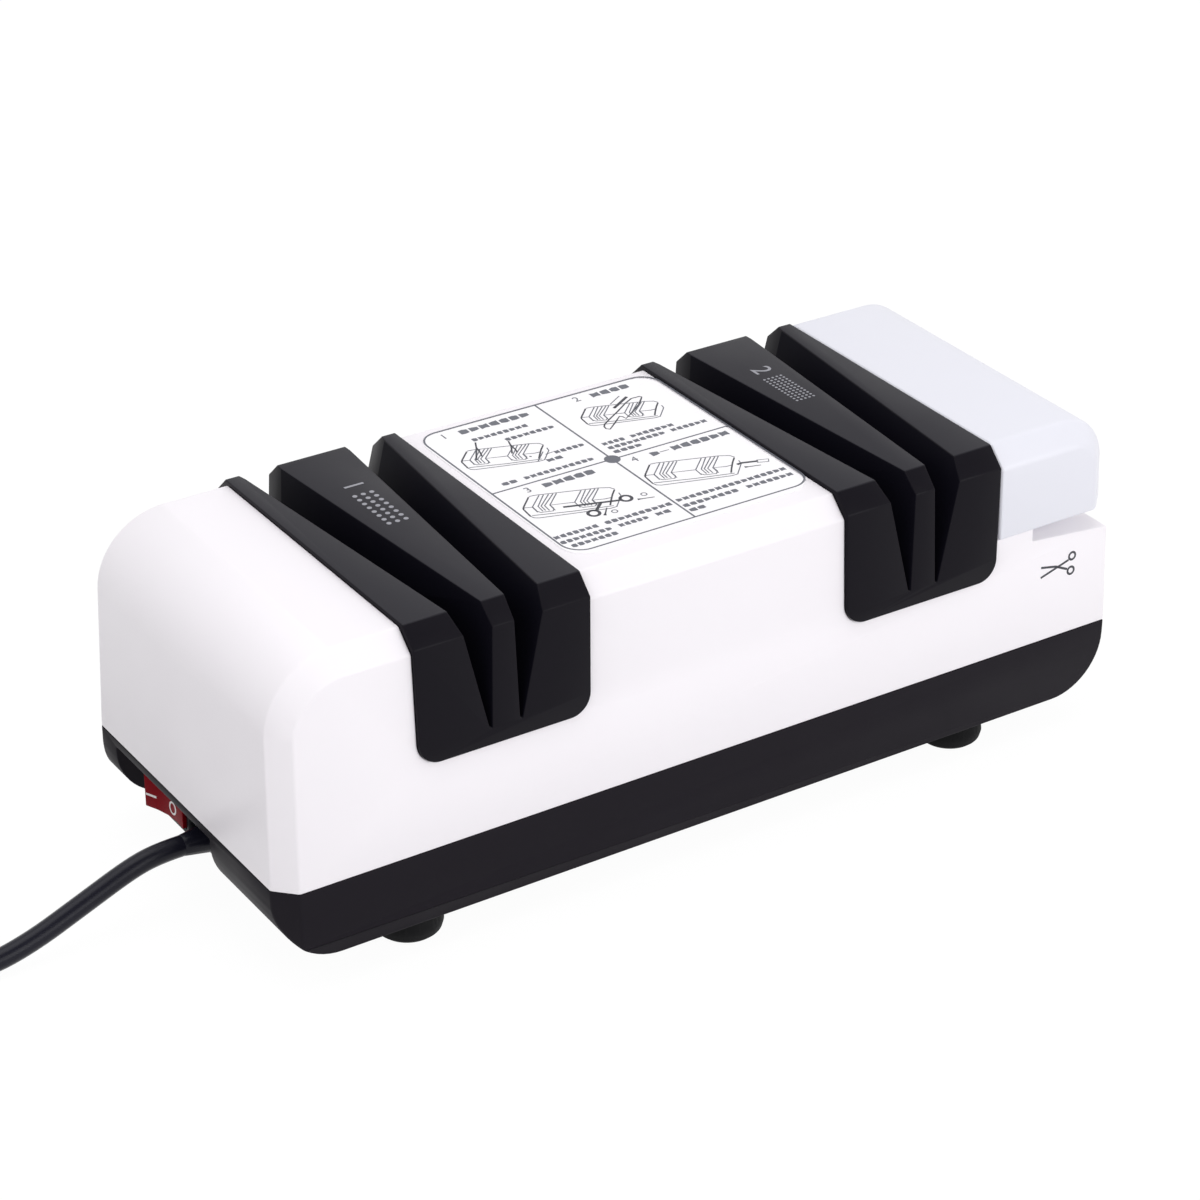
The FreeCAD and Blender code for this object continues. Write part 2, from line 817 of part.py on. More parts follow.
def make_guide(label, side):
    body = new_body(label)
    centre = size("guide_offset") * side
    half_top = size("guide_width") / 2
    half_low = half_top - size("guide_narrowing")
    deep_top = half_width_at(guide_top) + size("guide_proud")
    deep_low = half_width_at(guide_bottom) + size("guide_proud")
    form = drafted_block(body, label, (centre - half_low, centre + half_low),
                         (centre - half_top, centre + half_top), deep_low, deep_top,
                         guide_bottom, guide_top)
    form = dress(body, "Chamfer", label + "_edge", form,
                 lambda p: near(p.z, guide_top.value) and near(abs(p.y), deep_top.value),
                 size("guide_cut"))
    form = dress(body, "Fillet", label + "_foot", form,
                 lambda p: near(p.z, guide_bottom.value) and
                 near(abs(p.x - centre.value), half_low.value), size("guide_corner"))
    reach = deep_low + size("slot_overshoot")
    floor = guide_top - size("slot_depth")
    ratio = dim(OVER) / size("slot_depth")
    for tag, way in (("left", -1), ("right", 1)):
        sections = []
        for end, lift in (("front", reach), ("back", -reach)):
            inner = size("slot_%s_inner" % end)
            outer = size("slot_%s_outer" % end)
            line = [(centre + (inner + size("slot_inner_lean")) * way, floor),
                    (centre + (outer - size("slot_outer_lean")) * way, floor),
                    (centre + (outer + size("slot_outer_lean") * ratio) * way, guide_top + OVER),
                    (centre + (inner - size("slot_inner_lean") * ratio) * way, guide_top + OVER)]
            sections.append(outline(body, "%s_%s_%s" % (label, tag, end), "xz", line, lift=lift))
        loft_cut(body, "%s_slot_%s" % (label, tag), sections[0], sections[1])
    gap = size("wheel_clearance")
    hub = size("wheel_hub") + gap
    rim = size("wheel_rim") + gap
    foot = size("wheel_hub_radius") + gap
    line = [(centre - hub, 0.0), (centre + hub, 0.0), (centre + hub, foot),
            (centre + rim, size("wheel_radius") + gap), (centre - rim, size("wheel_radius") + gap),
            (centre - hub, foot)]
    sketch = outline(body, label + "_wheel_line", "xz", line, rise=axis_height)
    groove = body.newObject("PartDesign::Groove", label + "_wheel_space")
    groove.Profile = sketch
    groove.ReferenceAxis = (sketch, ["H_Axis"])
    doc.recompute()
    inside = deep_low - size("guide_rim")
    hollow = [(-inside, guide_bottom - OVER), (inside, guide_bottom - OVER),
              (inside, guide_bottom + size("guide_hollow")),
              (-inside, guide_bottom + size("guide_hollow"))]
    wall = size("guide_side_wall")
    sketch = outline(body, label + "_hollow_line", "yz", hollow, lift=centre - half_low + wall)
    feature = body.newObject("PartDesign::Pocket", label + "_hollow")
    feature.Profile = sketch
    bind(feature, "Length", (half_low - wall) * 2)
    feature.Reversed = True
    doc.recompute()


# Cap over the scissors station

def make_end_cap():
    body = new_body("cap_outer")
    seat = size("cap_seat")
    proud = size("cap_proud")
    start = cap_start + size("fit_gap")
    form = drafted_block(body, "cap", (start, half_length_at(seat)),
                         (start, half_length_at(cap_top)),
                         half_width_at(seat) + proud, half_width_at(cap_top) + proud,
                         seat, cap_top)
    form = dress(body, "Fillet", "cap_end", form,
                 lambda p: near(p.z, cap_top.value) and p.x > cap_start.value + 10,
                 size("cap_end_radius"))

    def is_rim(edge):
        samples = edge.discretize(5)
        on_side = all(near(abs(p.y), half_width_at(p.z).value + proud.value) for p in samples)
        at_seat = all(near(p.z, seat.value) for p in samples)
        at_start = all(near(p.x, start.value) for p in samples)
        return on_side and not at_seat and not at_start

    names = ["Edge%d" % number for number, edge in enumerate(form.Shape.Edges, start=1)
             if is_rim(edge)]
    chamfer = body.newObject("PartDesign::Chamfer", "cap_rim")
    chamfer.Base = (form, names)
    bind(chamfer, "Size", size("corner_cut"))
    doc.recompute()
    soften(body, "cap_soft", chamfer, size("corner_softening"), low=seat, left=start)
    wall = size("wall")
    reach = half_width_at(cap_top) - wall
    space = box("cap_space", (start + wall, half_length_at(cap_top) - wall * 1.4), (-reach, reach),
                (seat + wall, cap_top - size("cap_roof")))
    mouth = box("cap_mouth", (start + wall, slot_start - wall), (-reach, reach),
                (seat - 1, seat + wall + 1))
    finish(cut("end_cap", body, [space, mouth]), "end_cap")


# Printed panel between the guides

def make_panel():
    body = new_body("instruction_panel")
    half = size("guide_offset") - size("guide_width") / 2 - size("panel_margin")
    x0 = size("panel_shift_x") - half
    x1 = size("panel_shift_x") + half
    y0 = size("panel_shift_y") - size("panel_width") / 2
    y1 = size("panel_shift_y") + size("panel_width") / 2
    sketch = outline(body, "panel_line", "xy", rectangle(x0, x1, y0, y1), lift=shell_top)
    form = pad(body, "panel_pad", sketch, size("panel_thickness"))
    dress(body, "Fillet", "panel_round", form,
          lambda p: (near(p.x, x0.value) or near(p.x, x1.value)) and
          (near(p.y, y0.value) or near(p.y, y1.value)), size("panel_corner"))


# Feet and screws

def make_foot(label, ix, iy):
    body = new_body(label)
    top = size("foot_height")
    radius = size("foot_radius")
    sink = size("foot_sink_radius")
    hole = size("screw_radius") + size("screw_slack") / 2
    web = size("foot_web")
    bevel = size("foot_bevel")
    line = [(sink, 0.0), (radius - bevel, 0.0), (radius - bevel / 4, bevel * 0.65),
            (radius, bevel * 1.6), (radius - bevel * 0.4, top), (hole, top), (hole, web),
            (sink, web)]
    sketch = outline(body, label + "_profile", "xz", line)
    feature = body.newObject("PartDesign::Revolution", label + "_turn")
    feature.Profile = sketch
    feature.ReferenceAxis = (sketch, ["V_Axis"])
    doc.recompute()
    place(body, foot_x * ix, foot_y * iy, 0)


def upward_screw(name, spot, head_z, tip):
    """A cross-head screw driven from below, with its head at head_z and its shank up to tip."""
    tall = size("screw_head_height")
    head = rod(name + "_head", "z", head_z, head_z + tall, spot, size("screw_head_radius"))
    shank = rod(name + "_shank", "z", head_z + tall / 2, tip, spot,
                size("screw_radius") - size("press_gap") * 2)
    arm = size("screw_head_radius") * 0.63
    blade = size("screw_head_radius") * 0.15
    recess = []
    for way, dx, dy in (("across", arm, blade), ("along", blade, arm)):
        recess.append(box("%s_%s" % (name, way), (spot[0] - dx, spot[0] + dx),
                          (spot[1] - dy, spot[1] + dy), (head_z - 1, head_z + tall / 2)))
    return cut(name, fuse(name + "_solid", [head, shank]), recess)


def make_screws():
    housing = []
    feet = []
    for tag, ix, iy in CORNERS:
        head_z = base_bottom + size("sink_depth") - size("screw_head_height")
        housing.append(upward_screw("case_screw_" + tag, (screw_x * ix, screw_y * iy), head_z,
                                    seam + size("screw_bite")))
        feet.append(upward_screw("foot_screw_" + tag, (foot_x * ix, foot_y * iy),
                                 size("foot_web") - size("screw_head_height"),
                                 base_bottom + size("boss_radius") * 1.5))
    finish(group("housing_screws", housing), "housing_screws")
    finish(group("foot_screws", feet), "foot_screws")
    mounts = []
    for tag, x, iy in MOUNT_SPOTS:
        spot = (x, size("mount_screw_y") * iy)
        top = mount_height + size("ear_thickness")
        head = rod("mount_head_" + tag, "z", top, top + size("mount_head_height"), spot,
                   size("mount_head_radius"))
        shank = rod("mount_shank_" + tag, "z", floor_top + 1.5, top + 0.5, spot,
                    size("mount_screw_radius"))
        mounts.append(fuse("mount_screw_" + tag, [head, shank]))
    finish(group("mount_screws", mounts), "mount_screws")


# Motor

def make_motor():
    half = size("stack_length") / 2
    reach = size("stack_size") / 2
    z = axis_height
    stack = new_body("stack_form")
    line = rectangle(-reach, reach, z - reach, z + reach)
    form = pad(stack, "stack_pad", outline(stack, "stack_line", "yz", line, lift=-half),
               size("stack_length"))
    dress(stack, "Chamfer", "stack_corners", form,
          lambda p: near(abs(p.y), reach.value) and near(abs(p.z - z.value), reach.value),
          size("stack_corner"))
    cuts = [rod("stack_hole", "x", -half - 1, half + 1, (dim(0), z), size("stack_bore"))]
    gap = size("winding_gap")
    low = size("stack_bore") + size("pole_thickness")
    high = low + size("coil_height")
    side = size("coil_half_width")
    hole = size("coil_half_hole")
    for tag, iy, iz in QUARTERS:
        ys = sorted_pair((hole - gap) * iy, (side + gap) * iy)
        zs = sorted_pair((low - gap) * iz, (high + gap) * iz)
        cuts.append(box("window_" + tag, (-half - 1, half + 1), ys, (z + zs[0], z + zs[1])))
        cuts.append(rod("stack_bolt_" + tag, "x", -half - 1, half + 1, rod_place(iy, iz),
                        size("tie_rod_radius") + gap))
    finish(cut("stator_core", stack, cuts), "stator_core")
    coils = []
    for tag, iz in (("upper", 1), ("lower", -1)):
        bottom = z + low if iz > 0 else z - high
        body = new_body("coil_form_" + tag)
        long = half + size("coil_overhang")
        form = pad(body, "coil_pad_" + tag, outline(body, "coil_line_" + tag, "xy",
                   rectangle(-long, long, -side, side), lift=bottom), size("coil_height"))
        dress(body, "Fillet", "coil_round_" + tag, form,
              lambda p: near(abs(p.x), long.value) and near(abs(p.y), side.value),
              size("coil_corner"))
        opening = box("coil_hole_" + tag, (-half - gap * 2, half + gap * 2), (-hole, hole),
                      (bottom - 1, bottom + size("coil_height") + 1))
        coils.append(cut("coil_" + tag, body, [opening]))
    finish(group("field_coils", coils), "field_coils")
    make_bracket("motor_bracket_left", "bearing_left", -1)
    make_bracket("motor_bracket_right", "bearing_right", 1)
    rods = []
    for tag, iy, iz in QUARTERS:
        across = rod_place(iy, iz)
        plate = size("bracket_distance") + size("bracket_plate")
        end = plate + size("tie_head_height")
        shank = rod("tie_shank_" + tag, "x", -plate - 0.5, plate + 0.5, across,
                    size("tie_rod_radius"))
        head = rod("tie_head_" + tag, "x", -end, -plate, across, size("tie_head_radius"))
        nut = rod("tie_nut_" + tag, "x", plate, end, across, size("tie_head_radius"))
        rods.append(fuse("tie_rod_" + tag, [shank, head, nut]))
    finish(group("motor_bolts", rods), "motor_bolts")
    make_brushes(z)


def rod_place(iy, iz):
    return size("tie_rod_place") * iy, axis_height + size("tie_rod_place") * iz


def make_bracket(label, bearing, way):
    """A plate on four legs that carries a bearing and stands on the tray by one ear."""
    z = axis_height
    reach = size("stack_size") / 2
    near_x = size("bracket_distance")
    far_x = near_x + size("bracket_plate")

    def span(a, b):
        return sorted_pair(dim(a) * way, dim(b) * way)

    ear_top = mount_height + size("ear_thickness")
    ear = size("ear_half_width")
    plate = box(label + "_plate", span(near_x, far_x), (-reach, reach), (z - reach, z + reach))
    foot = box(label + "_ear", span(near_x, near_x + size("ear_length")), (-ear, ear),
               (mount_height, ear_top))
    seat = rod(label + "_seat", "x", *span(near_x, near_x + size("seat_length")), (dim(0), z),
               size("bearing_radius") + size("seat_wall"))
    legs = []
    cuts = []
    gap = size("winding_gap")
    rim = size("bracket_rim")
    spoke = size("bracket_spoke") / 2
    for tag, iy, iz in QUARTERS:
        across = rod_place(iy, iz)
        legs.append(rod("%s_leg_%s" % (label, tag), "x",
                        *span(size("stack_length") / 2, near_x + 1), across, size("leg_radius")))
        cuts.append(rod("%s_bolt_%s" % (label, tag), "x",
                        *span(size("stack_length") / 2 - 1, far_x + 1), across,
                        size("tie_rod_radius") + gap))
        ys = sorted_pair(spoke * iy, (reach - rim) * iy)
        zs = sorted_pair(rim * 0.6 * iz, (reach - rim * 2) * iz)
        cuts.append(box("%s_vent_%s" % (label, tag), span(near_x - 1, far_x + 1), ys,
                        (z + zs[0], z + zs[1])))
    for tag, iy in (("front", -1), ("back", 1)):
        cuts.append(rod("%s_hole_%s" % (label, tag), "z", mount_height - 1, ear_top + 1,
                        (mount_screw_x * way, size("mount_screw_y") * iy),
                        size("mount_screw_radius") + size("screw_slack")))
    start = near_x + size("winding_gap") * 5
    cuts.append(rod(label + "_bore", "x", *span(near_x - 1, start + size("bearing_width") + gap),
                    (dim(0), z), size("bearing_radius") + size("press_gap")))
    cuts.append(rod(label + "_shaft_hole", "x", *span(near_x - 1, near_x + size("seat_length") + 4),
                    (dim(0), z), size("shaft_radius") + 1.5))
    solid = fuse(label + "_solid", [plate, foot, seat] + legs)
    finish(cut(label, solid, cuts), label)
    make_bearing(bearing, span(start, start + size("bearing_width")))


def make_bearing(label, xs):
    """A ball bearing with its shield set back between the two races."""
    bore = size("shaft_radius") + size("running_gap")
    outer = size("bearing_radius")
    race = size("bearing_race")
    back = size("bearing_recess")
    line = [(xs[0], bore), (xs[0], bore + race), (xs[0] + back, bore + race),
            (xs[0] + back, outer - race), (xs[0], outer - race), (xs[0], outer),
            (xs[1], outer), (xs[1], outer - race), (xs[1] - back, outer - race),
            (xs[1] - back, bore + race), (xs[1], bore + race), (xs[1], bore)]
    turned(label, line, axis_height)


def make_brushes(z):
    holders = []
    brushes = []
    wall = size("holder_wall")
    width = size("brush_width")
    gap = size("winding_gap")
    end = size("bracket_distance")
    start = end - width - wall * 2.5
    tall = width / 2 + wall
    touch = size("commutator_radius") + size("brush_gap")
    inner = touch + size("commutator_gap")
    for tag, iy in (("front", -1), ("back", 1)):
        ys = sorted_pair(inner * iy, (inner + size("holder_length")) * iy)
        shell = box("holder_box_" + tag, (start, end), ys, (z - tall, z + tall))
        ys = sorted_pair((inner - wall) * iy, (inner + size("holder_length") - wall) * iy)
        hole = box("holder_hole_" + tag, (start + wall, start + wall + width + gap * 2), ys,
                   (z - width / 2 - gap, z + width / 2 + gap))
        holders.append(cut("holder_" + tag, shell, [hole]))
        ys = sorted_pair(touch * iy, (touch + size("brush_length")) * iy)
        brushes.append(box("brush_" + tag, (start + wall + gap, start + wall + gap + width), ys,
                           (z - width / 2, z + width / 2)))
    finish(group("brush_holders", holders), "brush_holders")
    finish(group("carbon_brushes", brushes), "carbon_brushes")


# Rotating line: armature, fan, wheels and nuts on one shaft

def make_rotor():
    z = axis_height
    bore = size("shaft_radius") + size("press_gap")
    bevel = size("shaft_bevel")
    turned("drive_shaft", [(-shaft_left, 0.0), (shaft_right, 0.0),
                           (shaft_right, size("shaft_radius") - bevel),
                           (shaft_right - bevel, size("shaft_radius")),
                           (-shaft_left + bevel, size("shaft_radius")),
                           (-shaft_left, size("shaft_radius") - bevel)], z)
    make_armature(z, bore)
    make_fan(z, bore)
    hub = size("wheel_hub")
    rim = size("wheel_rim")
    foot = size("wheel_hub_radius")
    for label, side in (("coarse_wheel", -1), ("fine_wheel", 1)):
        centre = size("guide_offset") * side
        turned(label, [(centre - hub, bore), (centre + hub, bore), (centre + hub, foot),
                       (centre + rim, size("wheel_radius")), (centre - rim, size("wheel_radius")),
                       (centre - hub, foot)], z)
    start = scissor_wheel_start
    end = start + size("scissor_wheel_width")
    bevel = size("scissor_wheel_bevel")
    radius = size("scissor_wheel_radius")
    turned("scissor_wheel", [(start, bore), (end, bore), (end, radius - bevel),
                             (end - bevel, radius), (start + bevel, radius),
                             (start, radius - bevel)], z)
    centre = size("guide_offset")
    length = size("collar_length")
    collar = size("collar_radius")
    rings = [ring("collar_coarse", -centre + hub, -centre + hub + length, bore, collar, z),
             ring("collar_fine", centre - hub - length, centre - hub, bore, collar, z),
             ring("collar_fine_outer", centre + hub, centre + hub + length, bore, collar, z),
             ring("collar_scissor", start - size("short_collar_length"), start, bore,
                  collar - 1, z)]
    finish(group("shaft_collars", rings), "shaft_collars")
    nuts = []
    for tag, x in (("left", -centre - hub - size("nut_height")), ("right", end)):
        prism = doc.addObject("Part::Prism", "nut_form_" + tag)
        prism.Polygon = 6
        bind(prism, "Circumradius", size("nut_radius"))
        bind(prism, "Height", size("nut_height"))
        place(prism, x, dim(0), z, TURNS["x"])
        hole = rod("nut_hole_" + tag, "x", x - 1, x + size("nut_height") + 1, (dim(0), z), bore)
        nuts.append(cut("nut_" + tag, prism, [hole]))
    finish(group("wheel_nuts", nuts), "wheel_nuts")


def blade_box(name, index, count, length, width, height, start_x, radius):
    """A thin box standing out from the shaft line, turned to its place in a round pattern."""
    blade = doc.addObject("Part::Box", name)
    bind(blade, "Length", length)
    bind(blade, "Width", width)
    bind(blade, "Height", height)
    turn = Rotation(Vector(1, 0, 0), 360.0 * index / count)
    offset = turn.multVec(Vector(0, -dim(width).value / 2, dim(radius).value))
    blade.Placement = Placement(Vector(dim(start_x).value, offset.y,
                                       axis_height.value + offset.z), turn)
    return blade


def make_armature(z, bore):
    half = size("stack_length") / 2 - size("armature_gap")
    core_radius = size("stack_bore") - size("armature_gap")
    core = ring("armature_form", -half, half, bore, core_radius, z)
    slots = [blade_box("armature_slot_%d" % index, index, 12, half * 2 + 2,
                       size("armature_slot_width"), size("armature_slot_depth") + 2, -half - 1,
                       core_radius - size("armature_slot_depth")) for index in range(12)]
    finish(cut("armature_core", core, slots), "armature_core")
    ends = []
    inset = size("winding_inset")
    for tag, way in (("left", -1), ("right", 1)):
        near_x = half * way
        far_x = (half + size("winding_length")) * way
        line = [(near_x, bore), (far_x, bore), (far_x, core_radius - inset * 2.4),
                (far_x - inset * 0.8 * way, core_radius - inset), (near_x, core_radius - inset)]
        ends.append(turned("winding_" + tag, line, z))
    finish(group("armature_winding", ends), "armature_winding")
    start = half + size("winding_length") + size("winding_gap") * 2
    ring("commutator", start, size("bracket_distance") - size("commutator_gap"), bore,
         size("commutator_radius"), z)


def make_fan(z, bore):
    outer = -(size("bracket_distance") - size("fan_gap"))
    inner = outer + size("fan_width")
    hub_radius = size("fan_hub_radius")
    hub = ring("fan_hub", outer, inner, bore, hub_radius, z)
    disc = ring("fan_disc", outer, outer + size("fan_disc"), hub_radius - 0.5, size("fan_radius"), z)
    blades = [blade_box("fan_blade_%d" % index, index, 9, size("fan_width") - 0.5,
                        size("fan_blade"), size("fan_radius") - hub_radius, outer + 0.5,
                        hub_radius - 0.6) for index in range(9)]
    finish(fuse("cooling_fan", [hub, disc] + blades), "cooling_fan")


def make_pedestal():
    z = axis_height
    half = size("pedestal_width") / 2
    start = pedestal_x - half
    end = pedestal_x + half
    side = size("pedestal_half")
    ear = size("ear_half_width")
    ear_top = mount_height + size("ear_thickness")
    plate = box("pedestal_plate", (start, end), (-side, side), (mount_height, z))
    foot = box("pedestal_foot", (pedestal_x - size("pedestal_foot") / 2,
                                 pedestal_x + size("pedestal_foot") / 2), (-ear, ear),
               (mount_height, ear_top))
    head = rod("pedestal_head", "x", start, end, (dim(0), z),
               size("bearing_radius") + size("seat_wall"))
    cuts = [rod("pedestal_bore", "x", start - 1, end + 1, (dim(0), z),
                size("bearing_radius") + size("press_gap"))]
    for tag, iy in (("front", -1), ("back", 1)):
        cuts.append(rod("pedestal_hole_" + tag, "z", mount_height - 1, ear_top + 1,
                        (pedestal_x, size("mount_screw_y") * iy),
                        size("mount_screw_radius") + size("screw_slack")))
    solid = fuse("pedestal_solid", [plate, foot, head])
    finish(cut("bearing_pedestal", solid, cuts), "bearing_pedestal")
    middle = size("bearing_width") / 2
    make_bearing("bearing_outer", (pedestal_x - middle, pedestal_x + middle))


# Switch

def make_switch():
    wall = -pocket_x
    y = switch_y
    z = switch_z
    half = size("switch_flange_length") / 2
    tall = size("switch_flange_height") / 2
    depth = size("switch_body_depth")
    body_half = size("switch_body_length") / 2
    body_tall = size("switch_body_height") / 2
    flange = box("switch_flange", (wall - size("switch_flange_thickness"), wall),
                 (y - half, y + half), (z - tall, z + tall))
    case = box("switch_case", (wall - 0.5, wall + depth), (y - body_half, y + body_half),
               (z - body_tall, z + body_tall))
    gap = size("rocker_gap")
    reach = size("rocker_length") / 2 + gap * 2.5
    rise = size("rocker_height") / 2 + gap
    space = box("switch_space", (wall - size("switch_flange_thickness") - 1,
                                 wall + size("switch_well")), (y - reach, y + reach),
                (z - rise, z + rise))
    pin_hole = rod("switch_pin_hole", "z", z - body_tall + gap, z + body_tall - gap,
                   (wall + size("switch_gap"), y), size("rocker_pin_radius") + 0.05)
    finish(cut("switch_body", fuse("switch_solid", [flange, case]), [space, pin_hole]),
           "switch_body")
    tabs = []
    thick = size("terminal_thickness") / 2
    wide = size("terminal_width") / 2
    for index in (-1, 0, 1):
        middle = y + size("terminal_pitch") * index
        tabs.append(box("tab_%d" % (index + 1), (wall + depth,
                                                 wall + depth + size("terminal_length")),
                        (middle - thick, middle + thick), (z - wide, z + wide)))
    finish(group("switch_terminals", tabs), "switch_terminals")
    body = new_body("switch_rocker")
    end = size("rocker_length") / 2
    line = [(-end, size("rocker_end")), (-end * 0.5, size("rocker_end") - 1),
            (dim(0), size("rocker_valley")), (end * 0.5, size("rocker_end") - 1),
            (end, size("rocker_end")), (end - 0.1, 1.0), (end - 1.6, -1.6), (3.0, -4.6),
            (-3.0, -4.6), (-end + 1.6, -1.6), (-end + 0.1, 1.0)]
    sketch = outline(body, "rocker_line", "xy", line, lift=-size("rocker_height") / 2)
    pad(body, "rocker_pad", sketch, size("rocker_height"))
    stub = outline_circle(body, "rocker_pin", size("rocker_pin_radius"))
    pad(body, "rocker_pin_pad", stub, size("switch_body_height") - gap * 4, midplane=True)
    place(body, wall + size("switch_gap"), y, z,
          Rotation(Vector(0, 0, 1), 90.0 + size("rocker_tilt").value))


# Strain relief, the cord inside the housing and its clamp

def make_gland():
    wall = pocket_x
    inside = pocket_x - size("pocket_wall")
    radius = size("cord_diameter") / 2
    neck = size("gland_neck")
    flange = neck + size("gland_flange")
    gap = size("lip_gap")
    line = [(-gland_tip_x, 0.0), (-(inside - 5), 0.0), (-(inside - 5), radius + 0.6),
            (-(inside - gap - 3), neck), (-(inside - gap - 3), flange), (-(inside - gap), flange),
            (-(inside - gap), neck), (-wall, neck), (-wall, flange), (-(wall + 1.8), flange),
            (-(wall + 1.8), neck), (-gland_tip_x, radius + size("gland_sleeve"))]
    turned("cord_gland", line, gland_z)
    start = inside - 5
    end = start - size("inner_cord_length")
    finish(rod("inner_cord", "x", -start, -end, (dim(0), gland_z), radius), "inner_cord")
    middle = (start + end) / 2
    half = size("clamp_half")
    long = size("clamp_length") / 2
    top = gland_z + radius + size("running_gap")
    bar = box("clamp_bar", (-middle - long, -middle + long), (-half, half),
              (top, top + size("clamp_thickness")))
    posts = []
    for tag, iy in (("front", -1), ("back", 1)):
        ys = sorted_pair((radius + 1.5) * iy, half * iy)
        posts.append(box("clamp_post_" + tag, (-middle - long, -middle + long), ys,
                         (floor_top, top + 0.5)))
        posts.append(rod("clamp_screw_" + tag, "z", top + size("clamp_thickness") - 0.2,
                         top + size("clamp_thickness") + 2, (-middle, (half - 4) * iy),
                         size("mount_head_radius") - 0.5))
    saddle = box("clamp_saddle", (-middle - long, -middle + long), (-radius - 2, radius + 2),
                 (floor_top, gland_z - radius - size("running_gap")))
    finish(fuse("cord_clamp", [bar, saddle] + posts), "cord_clamp")
    make_leads(end)


def make_leads(cord_end):
    """Two insulated leads from the mains cord: one to the switch, one to the motor."""
    x0 = -cord_end.value
    z = gland_z.value
    spread = SIZES["lead_spread"]
    loop = SIZES["lead_loop"]
    tab_x = (-pocket_x + size("switch_body_depth") + size("terminal_length")).value
    tab_y = (switch_y - size("terminal_pitch")).value
    tab_z = switch_z.value
    to_switch = [Vector(x0, spread, z), Vector(x0 + loop * 0.53, spread, z),
                 Vector(x0 + loop, spread * 4, z + spread * 0.7),
                 Vector(x0 + loop, tab_y - spread, tab_z + spread * 0.7),
                 Vector(tab_x + loop * 0.47, tab_y, tab_z), Vector(tab_x, tab_y, tab_z)]
    motor_x = -(size("bracket_distance") + size("ear_length") + size("lead_radius") * 2.7).value
    reach = SIZES["lead_reach"]
    drop = SIZES["lead_drop"]
    side = SIZES["lead_side"]
    rise = SIZES["lead_rise"]
    to_motor = [Vector(x0, -spread, z), Vector(x0 + reach * 0.24, -spread, z),
                Vector(x0 + reach * 0.57, -side * 0.17, z - drop * 0.86),
                Vector(x0 + reach, -side * 0.41, z - drop),
                Vector(motor_x - rise, -side * 0.84, z - drop * 0.57),
                Vector(motor_x + rise / 4, -side, z + rise * 0.62),
                Vector(motor_x + rise * 2, -side, z + rise)]
    radius = SIZES["lead_radius"]
    first = route_tube(to_switch, radius)[0]
    second = route_tube(to_motor, radius)[0]
    shape_piece("inner_leads", Part.makeCompound([first, second]))


# Mains cord, its coil and the plug

def route_tube(points, radius):
    """A tube of straight runs joined by tangent arcs; prints its arc radii."""
    edges = []
    radii = []
    last = points[0]
    for before, here, after in zip(points, points[1:], points[2:]):
        way_in = (here - before).normalize()
        way_out = (after - here).normalize()
        turn = way_in.getAngle(way_out)
        setback = 0.45 * min((here - before).Length, (after - here).Length)
        arc_radius = setback / math.tan(turn / 2)
        radii.append(round(arc_radius, 1))
        start = here - way_in * setback
        stop = here + way_out * setback
        inward = (way_out - way_in).normalize()
        centre = here + inward * (arc_radius / math.cos(turn / 2))
        middle = centre + (here - centre).normalize() * arc_radius
        edges.append(Part.LineSegment(last, start).toShape())
        edges.append(Part.Arc(start, middle, stop).toShape())
        last = stop
    edges.append(Part.LineSegment(last, points[-1]).toShape())
    path = Part.Wire(edges)
    circle = Part.Wire([Part.makeCircle(radius, points[0], points[1] - points[0])])
    tube = path.makePipeShell([circle], True, False)
    expected = math.pi * radius * radius * path.Length
    print("tube radii", radii, "length %.1f" % path.Length,
          "volume ratio %.4f" % (tube.Volume / expected))
    return tube, path.Length


def biarc(start, start_way, end, end_way):
    """Two arcs that leave start along start_way and reach end along end_way."""
    chord = end - start
    ways = start_way + end_way
    spread = 2 * (1 - start_way.dot(end_way))
    reach = chord.dot(ways)
    step = (-reach + math.sqrt(reach * reach + spread * chord.dot(chord))) / spread
    joint = (start + end + (start_way - end_way) * step) * 0.5
    return [arc_from(start, start_way, joint, False), arc_from(end, end_way * -1, joint, True)]


def arc_from(point, way, joint, flip):
    chord = joint - point
    half_angle = way.getAngle(chord)
    middle = point + chord * 0.5
    corner = point + way * (chord.Length / 2 / math.cos(half_angle))
    bulge = (corner - middle).normalize() * (chord.Length / 2 * math.tan(half_angle / 2))
    if flip:
        return Part.Arc(joint, middle + bulge, point).toShape()
    return Part.Arc(point, middle + bulge, joint).toShape()


COIL_IN = 3.0
COIL_OUT = 2.5
COIL_TURNS = COIL_IN + 0.5 + COIL_OUT
coil_middle = size("coil_inner_radius") + size("coil_pitch") * (COIL_IN + 0.25)
coil_x = gland_tip_x + size("coil_distance")


def coil_point(turn):
    """Centre line of the coil: inward on the table, up one layer, outward on top."""
    pitch = SIZES["coil_pitch"]
    radius = SIZES["coil_inner_radius"] + pitch * abs(turn - COIL_IN - 0.25)
    climb = min(max((turn - COIL_IN) / 0.5, 0.0), 1.0)
    height = 0.5 - 0.5 * math.cos(math.pi * climb)
    angle = -math.pi / 2 - 2 * math.pi * turn
    return Vector(-coil_x.value + radius * math.cos(angle),
                  coil_middle.value + radius * math.sin(angle),
                  SIZES["coil_floor"] + pitch * height)


def coil_way(turn):
    step = 0.0005
    ahead = coil_point(min(turn + step, COIL_TURNS))
    behind = coil_point(max(turn - step, 0.0))
    return (ahead - behind).normalize()


